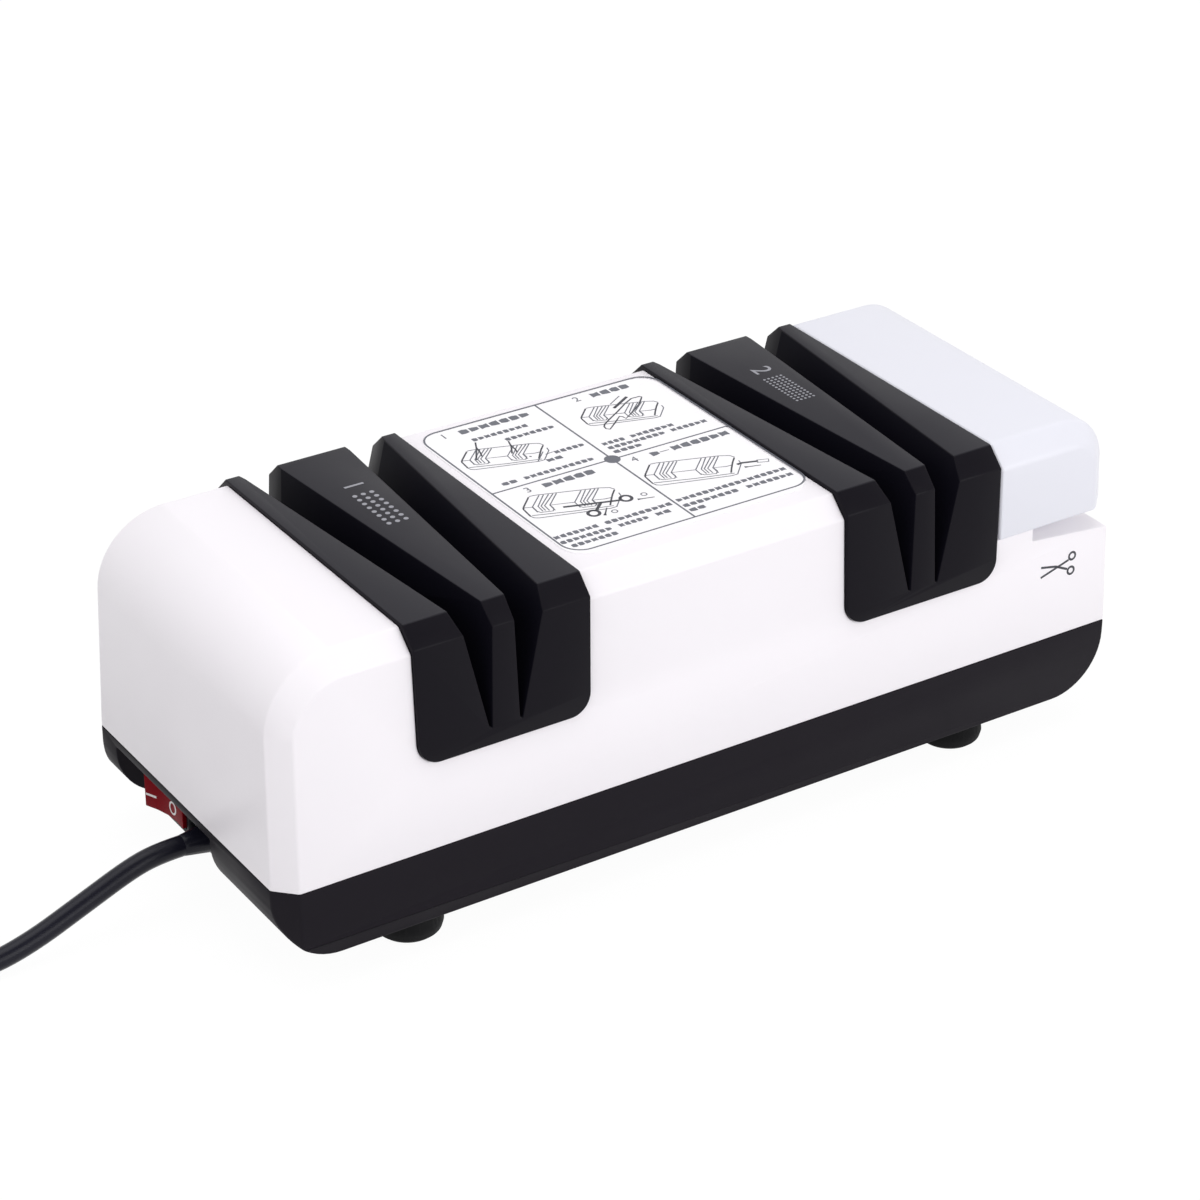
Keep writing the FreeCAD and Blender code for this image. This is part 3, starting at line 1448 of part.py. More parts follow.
def make_cord():
    diameter = SIZES["cord_diameter"]
    radius = diameter / 2
    z = gland_z.value
    tip = -gland_tip_x.value
    coil_z = SIZES["coil_floor"]
    start = coil_point(0.0)
    drop = z - coil_z
    reach = SIZES["cord_reach"]
    sway = SIZES["cord_sway"]
    lead_points = [Vector(tip - reach * x, -sway * y, z - drop * fall) for x, y, fall in (
        (0, 0, 0), (0.084, 0, 0), (0.195, 0, 0.1), (0.403, 0.3, 0.48), (0.61, 0.8, 0.83),
        (0.79, 1.0, 1.0), (1.0, 0, 1.0))]
    lead_points.append(Vector(start.x + diameter, 0, coil_z))
    lead, lead_length = route_tube(lead_points, radius)
    shape_piece("mains_cord", lead)
    knots = [index / 4.0 for index in range(int(COIL_TURNS * 4) + 1)]
    edges = [Part.LineSegment(start + Vector(diameter, 0, 0), start).toShape()]
    ways = [coil_way(turn) for turn in knots]
    ways[0] = Vector(-1, 0, 0)
    ways[-1] = Vector(-1, 0, 0)
    spots = [coil_point(turn) for turn in knots]
    for index in range(len(knots) - 1):
        edges.extend(biarc(spots[index], ways[index], spots[index + 1], ways[index + 1]))
    end = spots[-1] + Vector(-diameter, 0, 0)
    edges.append(Part.LineSegment(spots[-1], end).toShape())
    path = Part.Wire(edges)
    circle = Part.Wire([Part.makeCircle(radius, start + Vector(diameter, 0, 0), Vector(-1, 0, 0))])
    coil = path.makePipeShell([circle], True, False)
    print("coil length %.1f" % path.Length,
          "volume ratio %.4f" % (coil.Volume / (math.pi * radius ** 2 * path.Length)))
    samples = [coil_point(k / 60.0) for k in range(int(COIL_TURNS * 60) + 1)]
    gap = min((a - b).Length for i, a in enumerate(samples) for b in samples[i + 30:])
    print("coil least gap to itself %.2f" % (gap - diameter))
    shape_piece("cord_coil", coil)
    plug_start = end + Vector(-50, -7, SIZES["plug_axis"] - end.z)
    tail_points = [end, end + Vector(-13, 0, 0), plug_start + Vector(13, 0, 0), plug_start]
    tail, tail_length = route_tube(tail_points, radius)
    shape_piece("cord_tail", tail)
    print("cord length %.0f" % (lead_length + path.Length + tail_length))
    make_plug(plug_start)
    make_tie()


def shape_piece(label, shape):
    obj = doc.addObject("Part::Feature", label)
    obj.Shape = shape
    obj.Label = label
    return obj


def make_tie():
    """A hook-and-loop strap round the bundle, on the side away from the housing's front."""
    radius = size("cord_diameter") / 2
    slack = size("tie_slack")
    thick = size("tie_thickness")
    half = size("tie_width") / 2
    near_y = coil_middle + size("coil_inner_radius") - radius
    far_y = coil_middle + coil_middle - size("coil_pitch") / 2 + radius + slack * 4
    low = size("coil_floor") - radius - slack
    high = size("coil_floor") + size("coil_pitch") + radius + slack
    outer = box("tie_outer", (-coil_x - half, -coil_x + half), (near_y - thick, far_y + thick),
                (low - thick, high + thick))
    inner = box("tie_inner", (-coil_x - half - 1, -coil_x + half + 1), (near_y, far_y),
                (low, high))
    finish(cut("cord_tie", outer, [inner]), "cord_tie")


def make_plug(start):
    """A flat two-pin plug lying on the table."""
    z = size("plug_axis")
    half = size("plug_width") / 2
    thick = z - size("tie_slack")
    x0 = dim(start.x)
    y = dim(start.y)
    neck = size("cord_diameter") / 2 + 1.6
    end = x0 - size("plug_length") - 14
    body = new_body("plug_body")
    line = [(x0, y - neck), (x0, y + neck), (x0 - 14, y + neck * 1.5), (x0 - 20, y + half * 0.8),
            (x0 - 27, y + half), (end, y + half), (end, y - half), (x0 - 27, y - half),
            (x0 - 20, y - half * 0.8), (x0 - 14, y - neck * 1.5)]
    form = pad(body, "plug_pad", outline(body, "plug_line", "xy", line, lift=z - thick), thick * 2)
    dress(body, "Chamfer", "plug_edges", form,
          lambda p: near(p.z, (z + thick).value) or near(p.z, (z - thick).value),
          size("plug_bevel"))
    pins = [rod("pin_" + tag, "x", end - size("pin_length"), end,
                (y + size("pin_spacing") / 2 * way, z), size("pin_radius"))
            for tag, way in (("front", -1), ("back", 1))]
    finish(group("plug_pins", pins), "plug_pins")


CORNERS = (("lf", -1, -1), ("rf", 1, -1), ("lb", -1, 1), ("rb", 1, 1))
QUARTERS = (("uf", -1, 1), ("ub", 1, 1), ("df", -1, -1), ("db", 1, -1))
MOUNT_SPOTS = tuple((tag, x, iy) for tag, x, iy in (
    ("lf", -mount_screw_x, -1), ("lb", -mount_screw_x, 1), ("rf", mount_screw_x, -1),
    ("rb", mount_screw_x, 1), ("pf", pedestal_x, -1), ("pb", pedestal_x, 1)))
inner_cut = size("corner_cut") - size("wall") * 0.586


def main():
    make_base_tray()
    make_upper_shell()
    make_guide("coarse_guide", -1)
    make_guide("fine_guide", 1)
    make_end_cap()
    make_panel()
    for label, ix, iy in (("foot_front_left", -1, -1), ("foot_front_right", 1, -1),
                          ("foot_back_left", -1, 1), ("foot_back_right", 1, 1)):
        make_foot(label, ix, iy)
    make_screws()
    make_motor()
    make_rotor()
    make_pedestal()
    make_switch()
    make_gland()
    make_cord()
    doc.recompute()


NODES = [
    "base_tray", "upper_shell", "end_cap", "coarse_guide", "fine_guide", "instruction_panel",
    "foot_front_left", "foot_front_right", "foot_back_left", "foot_back_right",
    "foot_screws", "housing_screws", "mount_screws",
    "stator_core", "field_coils", "motor_bracket_left", "motor_bracket_right", "motor_bolts",
    "bearing_left", "bearing_right", "bearing_outer", "bearing_pedestal",
    "brush_holders", "carbon_brushes",
    "drive_shaft", "armature_core", "armature_winding", "commutator", "cooling_fan",
    "coarse_wheel", "fine_wheel", "scissor_wheel", "shaft_collars", "wheel_nuts",
    "switch_body", "switch_terminals", "switch_rocker",
    "cord_gland", "inner_cord", "cord_clamp", "inner_leads",
    "mains_cord", "cord_coil", "cord_tail", "cord_tie", "plug_body", "plug_pins",
]

main()
for item in doc.Objects:
    if "Invalid" in item.State or "Error" in item.State:
        raise RuntimeError("%s did not build" % item.Name)
os.makedirs(OUT_DIR, exist_ok=True)
for node in NODES:
    found = doc.getObjectsByLabel(node)
    if len(found) != 1:
        raise RuntimeError("%s is not one object" % node)
    result = found[0].Shape
    if result.isNull() or not result.isValid():
        raise RuntimeError("%s has a bad shape" % node)
    result.exportStep(os.path.join(OUT_DIR, node + ".step"))
    print(node, len(result.Solids), "solids, volume %.1f" % result.Volume)
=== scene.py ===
import math

import bpy
from bpy.props import FloatProperty, FloatVectorProperty, PointerProperty
from mathutils import Matrix, Vector


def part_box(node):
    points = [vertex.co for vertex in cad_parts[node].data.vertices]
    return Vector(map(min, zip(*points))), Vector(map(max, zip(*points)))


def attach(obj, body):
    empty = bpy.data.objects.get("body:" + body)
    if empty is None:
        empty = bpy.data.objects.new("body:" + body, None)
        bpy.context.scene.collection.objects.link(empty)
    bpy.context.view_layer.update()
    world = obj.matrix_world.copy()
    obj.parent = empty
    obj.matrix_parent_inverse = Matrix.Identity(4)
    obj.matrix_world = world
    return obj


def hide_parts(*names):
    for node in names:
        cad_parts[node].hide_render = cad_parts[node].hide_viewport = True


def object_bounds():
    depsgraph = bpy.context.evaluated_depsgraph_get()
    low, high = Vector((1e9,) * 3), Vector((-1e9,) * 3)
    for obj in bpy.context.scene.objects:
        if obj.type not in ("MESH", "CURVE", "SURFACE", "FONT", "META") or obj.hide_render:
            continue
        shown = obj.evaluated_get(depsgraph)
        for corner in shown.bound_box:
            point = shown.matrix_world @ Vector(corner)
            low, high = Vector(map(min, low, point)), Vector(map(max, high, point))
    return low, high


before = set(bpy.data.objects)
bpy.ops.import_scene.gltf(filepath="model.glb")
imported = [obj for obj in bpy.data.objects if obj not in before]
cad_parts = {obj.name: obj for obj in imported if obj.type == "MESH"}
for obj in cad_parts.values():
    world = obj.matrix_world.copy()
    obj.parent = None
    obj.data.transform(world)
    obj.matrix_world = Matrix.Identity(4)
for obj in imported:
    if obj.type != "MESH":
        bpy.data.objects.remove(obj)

bl_info = {
    "name": "Electric Knife Sharpener",
    "version": (1, 0, 0),
    "blender": (4, 5, 0),
    "location": "View3D > Sidebar > Sharpener",
    "description": "Dresses the packed sharpener: housing, guides, panel print, switch, cord",
    "category": "Object",
}

CAD_BOX = [list(corner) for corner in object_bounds()]
MM = 0.001


def colour(text):
    """An sRGB hex colour as linear red, green, blue and alpha."""
    parts = [int(text[i:i + 2], 16) / 255 for i in (0, 2, 4)]
    return tuple(c / 12.92 if c <= 0.04045 else ((c + 0.055) / 1.055) ** 2.4
                 for c in parts) + (1.0,)


def hue(name, text, default):
    return FloatVectorProperty(name=name, description=text, subtype="COLOR", size=4,
                               min=0.0, max=1.0, default=colour(default))


def length(name, text, default):
    return FloatProperty(name=name, description=text, default=default, min=0.0,
                         unit="LENGTH", precision=5)


class SharpenerColours(bpy.types.PropertyGroup):
    housing: hue("Housing", "Satin white of the upper housing", "F4F0F5")
    cap: hue("Cap", "Cool white of the cap over the scissors station", "E3E3EC")
    guide: hue("Guides", "Black of the two knife guides", "17151B")
    tray: hue("Tray", "Dark grey of the base tray", "1D1A20")
    rocker: hue("Rocker", "Red of the translucent rocker", "900618")
    print_dark: hue("Dark print", "Ink of the small tools and titles", "3E3F47")
    print_grey: hue("Grey print", "Ink of the frame lines and rows", "6A6C75")
    cord: hue("Cord", "Black of the mains cord and plug", "191924")


class SharpenerSizes(bpy.types.PropertyGroup):
    edge: length("Moulded edge", "Radius left on moulded outer edges", 0.35 * MM)
    fine_edge: length("Fine edge", "Radius left on small metal edges", 0.12 * MM)
    ink: length("Ink height", "Thickness of printed ink", 0.05 * MM)
    cord_diameter: length("Cord diameter", "Outer diameter of the mains cord", 6.0 * MM)
    cord_length: length("Cord length", "Length of cord from strain relief to plug", 1.472)


def hues():
    return bpy.context.scene.sharpener_colours


def sizes():
    return bpy.context.scene.sharpener_sizes


# Modelling helpers

def deselect():
    if bpy.context.mode != "OBJECT":
        bpy.ops.object.mode_set(mode="OBJECT")
    bpy.ops.object.select_all(action="DESELECT")


def pick(piece):
    """Make the piece the only selected and active object."""
    deselect()
    piece.select_set(True)
    bpy.context.view_layer.objects.active = piece
    return piece


def link(name, data):
    piece = bpy.data.objects.new(name, data)
    bpy.context.scene.collection.objects.link(piece)
    return pick(piece)


def edit(piece):
    pick(piece)
    bpy.ops.object.mode_set(mode="EDIT")
    bpy.ops.mesh.select_all(action="SELECT")


def apply_modifier(piece, kind, **settings):
    pick(piece)
    item = piece.modifiers.new(kind.title(), kind)
    for key, value in settings.items():
        setattr(item, key, value)
    bpy.ops.object.modifier_apply(modifier=item.name)


def settle(piece, matrix):
    """Put the piece in its place and leave its object at the origin."""
    pick(piece)
    piece.matrix_world = matrix
    bpy.ops.object.transform_apply(location=True, rotation=True, scale=True)


def smooth(piece, degrees=35):
    pick(piece)
    bpy.ops.object.shade_smooth_by_angle(angle=math.radians(degrees))


def dress(piece, finish, body, slot, *nodes):
    """Give the piece its finish and the body it rides on, and hide the CAD nodes it stands for.
    """
    piece.data.materials.clear()
    piece.data.materials.append(finish)
    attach(piece, body)
    if nodes:
        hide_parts(*nodes)
    return piece


def cad_copy(node, name):
    """A copy of a CAD node's mesh, its triangles merged back into flat and curved faces."""
    piece = link(name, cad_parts[node].data.copy())
    edit(piece)
    bpy.ops.mesh.remove_doubles(threshold=0.000004)
    bpy.ops.mesh.dissolve_limited(angle_limit=math.radians(0.3))
    bpy.ops.object.mode_set(mode="OBJECT")
    return piece


def softened(node, name, radius, segments=2, angle=30):
    """A merged copy whose sharp edges are rounded as a mould or a tool leaves them."""
    piece = cad_copy(node, name)
    if radius:
        apply_modifier(piece, "BEVEL", width=radius, segments=segments,
                       limit_method="ANGLE", angle_limit=math.radians(angle),
                       use_clamp_overlap=False, miter_outer="MITER_ARC")
    smooth(piece)
    return piece


# Finishes

def add(tree, kind, values=(), links=(), **settings):
    """Add a node with its settings, its socket values and its links."""
    item = tree.nodes.new(kind)
    for key, value in settings.items():
        setattr(item, key, value)
    for key, value in dict(values).items():
        item.inputs[key].default_value = value
    for key, source, output in links:
        tree.links.new(source.outputs[output], item.inputs[key])
    return item


def finish_base(name, values):
    """A new material with its shader; returns the tree, the shader and the coordinates."""
    material = bpy.data.materials.get(name)
    if material:
        bpy.data.materials.remove(material)
    material = bpy.data.materials.new(name)
    material.use_nodes = True
    tree = material.node_tree
    shader = tree.nodes["Principled BSDF"]
    for key, value in values.items():
        shader.inputs[key].default_value = value
    place = add(tree, "ShaderNodeTexCoord")
    return material, tree, shader, place


def grained(name, base, roughness, grain_mm, depth_mm, spread=0.06, tint=0.04, gloss=0.5,
            painted_top_light=None, **extra):
    """A moulded plastic: fine spark-eroded grain, a little change of gloss and of tone.

    A paler tone, if given, is painted on the faces that look up: painted top light, standing in
    for the light from above.
    """
    material, tree, shader, place = finish_base(
        name, {"Base Color": base, "Roughness": roughness, "Specular IOR Level": gloss, **extra})
    grain = add(tree, "ShaderNodeTexNoise", {"Scale": 1.0 / (grain_mm * MM), "Detail": 3.0,
                "Roughness": 0.6}, [("Vector", place, "Object")])
    cloud = add(tree, "ShaderNodeTexNoise", {"Scale": 1.0 / (28 * MM), "Detail": 2.0},
                [("Vector", place, "Object")])
    sheen = add(tree, "ShaderNodeMapRange", {"From Min": 0.3, "From Max": 0.7,
                "To Min": roughness - spread, "To Max": roughness + spread},
                [("Value", cloud, "Fac")])
    tree.links.new(sheen.outputs["Result"], shader.inputs["Roughness"])
    darker = tuple(c * (1 - tint) for c in base[:3]) + (1.0,)
    tone = add(tree, "ShaderNodeMix", {6: base, 7: darker}, [(0, cloud, "Fac")],
               data_type="RGBA")
    # painted top light: faces that look up are mixed towards the paler tone
    if painted_top_light:
        normal = add(tree, "ShaderNodeNewGeometry")
        parts = add(tree, "ShaderNodeSeparateXYZ", (), [(0, normal, "True Normal")])
        upward = add(tree, "ShaderNodeMapRange", {"From Min": 0.75, "From Max": 0.98},
                     [("Value", parts, "Z")])
        tone = add(tree, "ShaderNodeMix", {7: painted_top_light}, [(0, upward, "Result"), (6, tone, 2)],
                   data_type="RGBA")
    tree.links.new(tone.outputs[2], shader.inputs["Base Color"])
    bump = add(tree, "ShaderNodeBump", {"Strength": 0.35, "Distance": depth_mm * MM},
               [("Height", grain, "Fac")])
    tree.links.new(bump.outputs["Normal"], shader.inputs["Normal"])
    return material


def metal(name, base, roughness, line_mm, stretch, depth_mm=0.01):
    """A worked metal: fine lines along one way, from turning, grinding or drawing."""
    material, tree, shader, place = finish_base(
        name, {"Base Color": base, "Metallic": 1.0, "Roughness": roughness})
    turn = add(tree, "ShaderNodeMapping", {"Scale": stretch}, [("Vector", place, "Object")])
    lines = add(tree, "ShaderNodeTexNoise", {"Scale": 1.0 / (line_mm * MM), "Detail": 4.0},
                [("Vector", turn, "Vector")])
    gloss = add(tree, "ShaderNodeMapRange", {"To Min": max(roughness - 0.1, 0.02),
                "To Max": roughness + 0.12}, [("Value", lines, "Fac")])
    tree.links.new(gloss.outputs["Result"], shader.inputs["Roughness"])
    bump = add(tree, "ShaderNodeBump", {"Strength": 0.3, "Distance": depth_mm * MM},
               [("Height", lines, "Fac")])
    tree.links.new(bump.outputs["Normal"], shader.inputs["Normal"])
    return material


def wound(name, base, dark, roughness, pitch_mm, axis, metallic=0.0, coat=0.0):
    """Parallel wires, sheets or threads at a real pitch, across one axis."""
    material, tree, shader, place = finish_base(
        name, {"Metallic": metallic, "Roughness": roughness, "Coat Weight": coat})
    waves = add(tree, "ShaderNodeTexWave", {"Scale": 1.0 / (pitch_mm * MM) / 3.1831,
                "Distortion": 0.4, "Detail": 1.0}, [("Vector", place, "Object")],
                wave_type="BANDS", bands_direction=axis)
    ramp = add(tree, "ShaderNodeValToRGB", (), [("Fac", waves, "Fac")])
    ramp.color_ramp.elements[0].color = dark
    ramp.color_ramp.elements[1].color = base
    ramp.color_ramp.elements[1].position = 0.55
    tree.links.new(ramp.outputs["Color"], shader.inputs["Base Color"])
    bump = add(tree, "ShaderNodeBump", {"Strength": 0.6, "Distance": pitch_mm * 0.2 * MM},
               [("Height", waves, "Fac")])
    tree.links.new(bump.outputs["Normal"], shader.inputs["Normal"])
    return material


def abrasive(name, base, dark, grit_mm):
    """Bonded grit: angular grains of two tones standing out of a vitrified bond."""
    material, tree, shader, place = finish_base(name, {"Roughness": 0.85})
    grains = add(tree, "ShaderNodeTexVoronoi", {"Scale": 1.0 / (grit_mm * MM)},
                 [("Vector", place, "Object")])
    ramp = add(tree, "ShaderNodeValToRGB", (), [("Fac", grains, "Color")])
    ramp.color_ramp.elements[0].color = dark
    ramp.color_ramp.elements[1].color = base
    tree.links.new(ramp.outputs["Color"], shader.inputs["Base Color"])
    bump = add(tree, "ShaderNodeBump", {"Strength": 0.8, "Distance": grit_mm * 0.5 * MM},
               [("Height", grains, "Distance")], invert=True)
    tree.links.new(bump.outputs["Normal"], shader.inputs["Normal"])
    return material


def make_finishes():
    """Every finish of the sharpener, by the name of its real material."""
    h = hues()
    black = tuple(h.guide)
    sets = {
        # ABS from a finely eroded mould: a soft wide highlight, no visible grain at arm's length
        "abs_satin_white": grained("abs_satin_white", tuple(h.housing), 0.42, 0.5, 0.012,
                                   tint=0.015),
        # the cap's ABS is bluer and a little glossier
        "abs_cool_white": grained("abs_cool_white", tuple(h.cap), 0.36, 0.5, 0.01, tint=0.015),
        # glass-filled black ABS: coarser grain, and a paler tone painted on its upward faces as
        # painted top light
        "abs_black_grained": grained("abs_black_grained", black, 0.38, 0.45, 0.03, tint=0.12,
                                     gloss=0.07, painted_top_light=colour("302F34")),
        # the slot walls get a darker, almost glossless black: painted shade inside the slots
        "abs_black_painted_slot_shade": grained("abs_black_painted_slot_shade", colour("100F17"), 0.5, 0.5, 0.01, tint=0.1,
                                  gloss=0.03),
        # the tray's dark ABS is smoother and slightly warm
        "abs_dark_grey": grained("abs_dark_grey", tuple(h.tray), 0.46, 0.5, 0.02, tint=0.1,
                                 gloss=0.07),
        # clear red polycarbonate, dark where it is thick, with a hard wet-looking skin
        "polycarbonate_red": grained("polycarbonate_red", tuple(h.rocker), 0.24, 1.2, 0.004,
                                     spread=0.04, tint=0.5, gloss=0.03),
        # polyester label film: smoother and flatter than the housing round it
        "label_film": grained("label_film", colour("F8F6F9"), 0.3, 0.8, 0.004, tint=0.01),
        # screen-printed ink: dry, slightly broken at its edges
        "ink_dark": grained("ink_dark", tuple(h.print_dark), 0.6, 0.2, 0.004, tint=0.2),
        "ink_grey": grained("ink_grey", tuple(h.print_grey), 0.6, 0.2, 0.004, tint=0.15),
        "ink_pale": grained("ink_pale", colour("9A9AA2"), 0.6, 0.2, 0.004, tint=0.15),
        "ink_white": grained("ink_white", colour("E9E4E4"), 0.5, 0.2, 0.004, tint=0.05),
        # nitrile rubber: matt, with a bloom that greys it
        "rubber_black": grained("rubber_black", colour("171719"), 0.78, 0.4, 0.03, tint=0.25,
                                gloss=0.1, **{"Sheen Weight": 0.08, "Sheen Roughness": 0.5}),
        # plasticised PVC: soft gloss along the cord
        "pvc_black": grained("pvc_black", tuple(h.cord), 0.3, 0.9, 0.02, tint=0.2, gloss=0.2),
        "pvc_brown": grained("pvc_brown", colour("3F2418"), 0.35, 0.6, 0.01),
        "nylon_black": grained("nylon_black", colour("131316"), 0.45, 0.35, 0.02, tint=0.15,
                               gloss=0.1),
        "phenolic_brown": grained("phenolic_brown", colour("2E211B"), 0.45, 0.6, 0.02, tint=0.3),
        "zinc_plated_steel": metal("zinc_plated_steel", colour("B4B6BC"), 0.32, 0.6,
                                   (1, 1, 6)),
        "ground_steel": metal("ground_steel", colour("C4C6CA"), 0.22, 0.3, (12, 1, 1)),
        "nickel_plate": metal("nickel_plate", colour("CFCAC0"), 0.14, 0.5, (0.2, 4, 4), 0.003),
        "brass_turned": metal("brass_turned", colour("C9A45C"), 0.28, 0.25, (14, 1, 1)),
        "zinc_die_cast": metal("zinc_die_cast", colour("9EA1A5"), 0.48, 0.9, (1, 1, 1), 0.06),
        # 0.5 mm electrical sheet, stacked: fine dark joints across the shaft
        "laminated_sheet": wound("laminated_sheet", colour("6E7075"), colour("2E3034"), 0.42,
                                 1.0, "X", metallic=0.9),
        # 0.4 mm enamelled wire, drawn at 0.8 mm so that the turns show
        "enamelled_copper": wound("enamelled_copper", colour("A4552A"), colour("4A1F10"), 0.3,
                                  0.8, "Z", metallic=0.85, coat=0.5),
        "graphite": grained("graphite", colour("26262A"), 0.55, 0.3, 0.03, Metallic=0.3),
        "corundum_coarse": abrasive("corundum_coarse", colour("7C6A5E"), colour("3C332E"), 0.5),
        "corundum_fine": abrasive("corundum_fine", colour("A9A39C"), colour("6F6A66"), 0.25),
        # woven polyamide tape, 0.7 mm ribs across its length
        "woven_strap": wound("woven_strap", colour("242427"), colour("0C0C0E"), 0.85, 0.9, "X"),
    }
    return sets


FINISHES = {}


class SHARPENER_OT_finishes(bpy.types.Operator):
    """Make every material of the sharpener"""
    bl_idname = "sharpener.finishes"
    bl_label = "Finishes"

    def execute(self, context):
        FINISHES.clear()
        FINISHES.update(make_finishes())
        return {"FINISHED"}


# Camera and stage

class SHARPENER_OT_camera(bpy.types.Operator):
    """Set the camera where the product picture was taken from"""
    bl_idname = "sharpener.camera"
    bl_label = "Camera"

    def execute(self, context):
        azimuth, elevation, roll = (math.radians(a) for a in (33.215, 29.112, 0.31))
        forward = Vector((math.sin(azimuth) * math.cos(elevation),
                          math.cos(azimuth) * math.cos(elevation), -math.sin(elevation)))
        right = Vector((math.cos(azimuth), -math.sin(azimuth), 0))
        up = right.cross(forward)
        across = right * math.cos(roll) + up * math.sin(roll)
        upward = up * math.cos(roll) - right * math.sin(roll)
        spot = (Vector((0, 0, 50 * MM)) - forward * 1016.62 * MM - across * 3.198 * MM
                + upward * 4.432 * MM)
        data = bpy.data.cameras.new("product_camera")
        data.sensor_width = 36.0
        data.lens = 3502.4 / 1200 * 36.0
        data.clip_start, data.clip_end = 0.05, 20.0
        camera = bpy.data.objects.new("product_camera", data)
        context.scene.collection.objects.link(camera)
        camera.matrix_world = Matrix((
            (across.x, upward.x, -forward.x, spot.x),
            (across.y, upward.y, -forward.y, spot.y),
            (across.z, upward.z, -forward.z, spot.z), (0, 0, 0, 1)))
        context.scene.camera = camera
        return {"FINISHED"}


def seen_or_mirrored(tree):
    """One for rays that the camera, a gloss or a clear surface sends, else zero."""
    path = add(tree, "ShaderNodeLightPath")
    first = add(tree, "ShaderNodeMath", (), [(0, path, "Is Camera Ray"),
                (1, path, "Is Glossy Ray")], operation="MAXIMUM")
    return add(tree, "ShaderNodeMath", (), [(0, first, 0), (1, path, "Is Transmission Ray")],
               operation="MAXIMUM")


class SHARPENER_OT_stage(bpy.types.Operator):
    """Lay the pale floor and set the soft studio light"""
    bl_idname = "sharpener.stage"
    bl_label = "Stage"

    def execute(self, context):
        deselect()
        bpy.ops.mesh.primitive_plane_add(size=8.0, location=(0, 0, 0))
        floor = context.active_object
        floor.name = "studio_floor"
        material = bpy.data.materials.new("studio_paper")
        material.use_nodes = True
        tree = material.node_tree
        tree.nodes.clear()
        matt = add(tree, "ShaderNodeBsdfDiffuse", {"Color": (0.8, 0.8, 0.8, 1)})
        seen = add(tree, "ShaderNodeBsdfDiffuse", {"Color": (0.9, 0.9, 0.9, 1)})
        light = add(tree, "ShaderNodeEmission", {"Color": (1, 1, 1, 1), "Strength": 1.03})
        pale = add(tree, "ShaderNodeMixShader", {0: 0.93}, [(1, seen, 0), (2, light, 0)])
        both = add(tree, "ShaderNodeMixShader", (),
                   [(0, seen_or_mirrored(tree), 0), (1, matt, 0), (2, pale, 0)])
        add(tree, "ShaderNodeOutputMaterial", (), [("Surface", both, 0)])
        floor.data.materials.append(material)
        world = bpy.data.worlds.new("studio_world")
        context.scene.world = world
        world.use_nodes = True
        tree = world.node_tree
        tree.nodes.clear()
        fill = add(tree, "ShaderNodeBackground", {"Color": (1, 1, 1, 1), "Strength": 0.62})
        # a dark studio wall above and in front, which keeps the guides' slanted edges dark
        way = add(tree, "ShaderNodeTexCoord")
        parts = add(tree, "ShaderNodeSeparateXYZ", (), [(0, way, "Generated")])
        high = add(tree, "ShaderNodeMapRange", {"From Min": 0.35, "From Max": 0.6},
                   [("Value", parts, "Z")])
        near = add(tree, "ShaderNodeMapRange", {"From Min": 0.05, "From Max": -0.3},
                   [("Value", parts, "Y")])
        dark = add(tree, "ShaderNodeMath", (), [(0, high, 0), (1, near, 0)],
                   operation="MULTIPLY")
        level = add(tree, "ShaderNodeMath", {1: -0.8, 2: 1.0}, [(0, dark, 0)],
                    operation="MULTIPLY_ADD")
        white = add(tree, "ShaderNodeBackground", {"Color": (1, 1, 1, 1)},
                    [("Strength", level, 0)])
        both = add(tree, "ShaderNodeMixShader", (),
                   [(0, seen_or_mirrored(tree), 0), (1, fill, 0), (2, white, 0)])
        add(tree, "ShaderNodeOutputWorld", (), [("Surface", both, 0)])
        for name, spot, size, power in (("key_softbox", (0.7, -1.9, 0.9), 1.4, 17.3),
                                        ("left_softbox", (-1.4, -0.2, 1.5), 1.2, 4.6),
                                        ("top_softbox", (0.0, 0.3, 1.9), 1.6, 12.0)):
            data = bpy.data.lights.new(name, "AREA")
            data.shape = "SQUARE"
            data.size = size
            data.energy = power
            lamp = bpy.data.objects.new(name, data)
            context.scene.collection.objects.link(lamp)
            lamp.location = spot
            lamp.rotation_euler = (Vector((0, 0, 0.05)) - Vector(spot)).to_track_quat(
                "-Z", "Y").to_euler()
        context.scene.view_settings.view_transform = "Standard"
        return {"FINISHED"}


# Cord

COIL_IN, COIL_OUT = 3.0, 2.5
COIL_X, COIL_INNER, COIL_PITCH = 240.0, 25.0, 6.5
COIL_STEPS = 24
TIP_X, GLAND_Z, FLOOR_Z, PLUG_Z = -141.0, 20.0, 3.7, 8.6
CORD_REACH, CORD_SWAY = 77.0, 2.2


def coil_point(turn):
    """Centre line of the coil: inward on the table, up one layer, outward on top."""
    radius = COIL_INNER + COIL_PITCH * abs(turn - COIL_IN - 0.25)
    climb = min(max((turn - COIL_IN) / 0.5, 0.0), 1.0)
    angle = -math.pi / 2 - 2 * math.pi * turn
    return Vector((-COIL_X + radius * math.cos(angle),
                   COIL_INNER + COIL_PITCH * (COIL_IN + 0.25) + radius * math.sin(angle),
                   FLOOR_Z + COIL_PITCH * (0.5 - 0.5 * math.cos(math.pi * climb))))


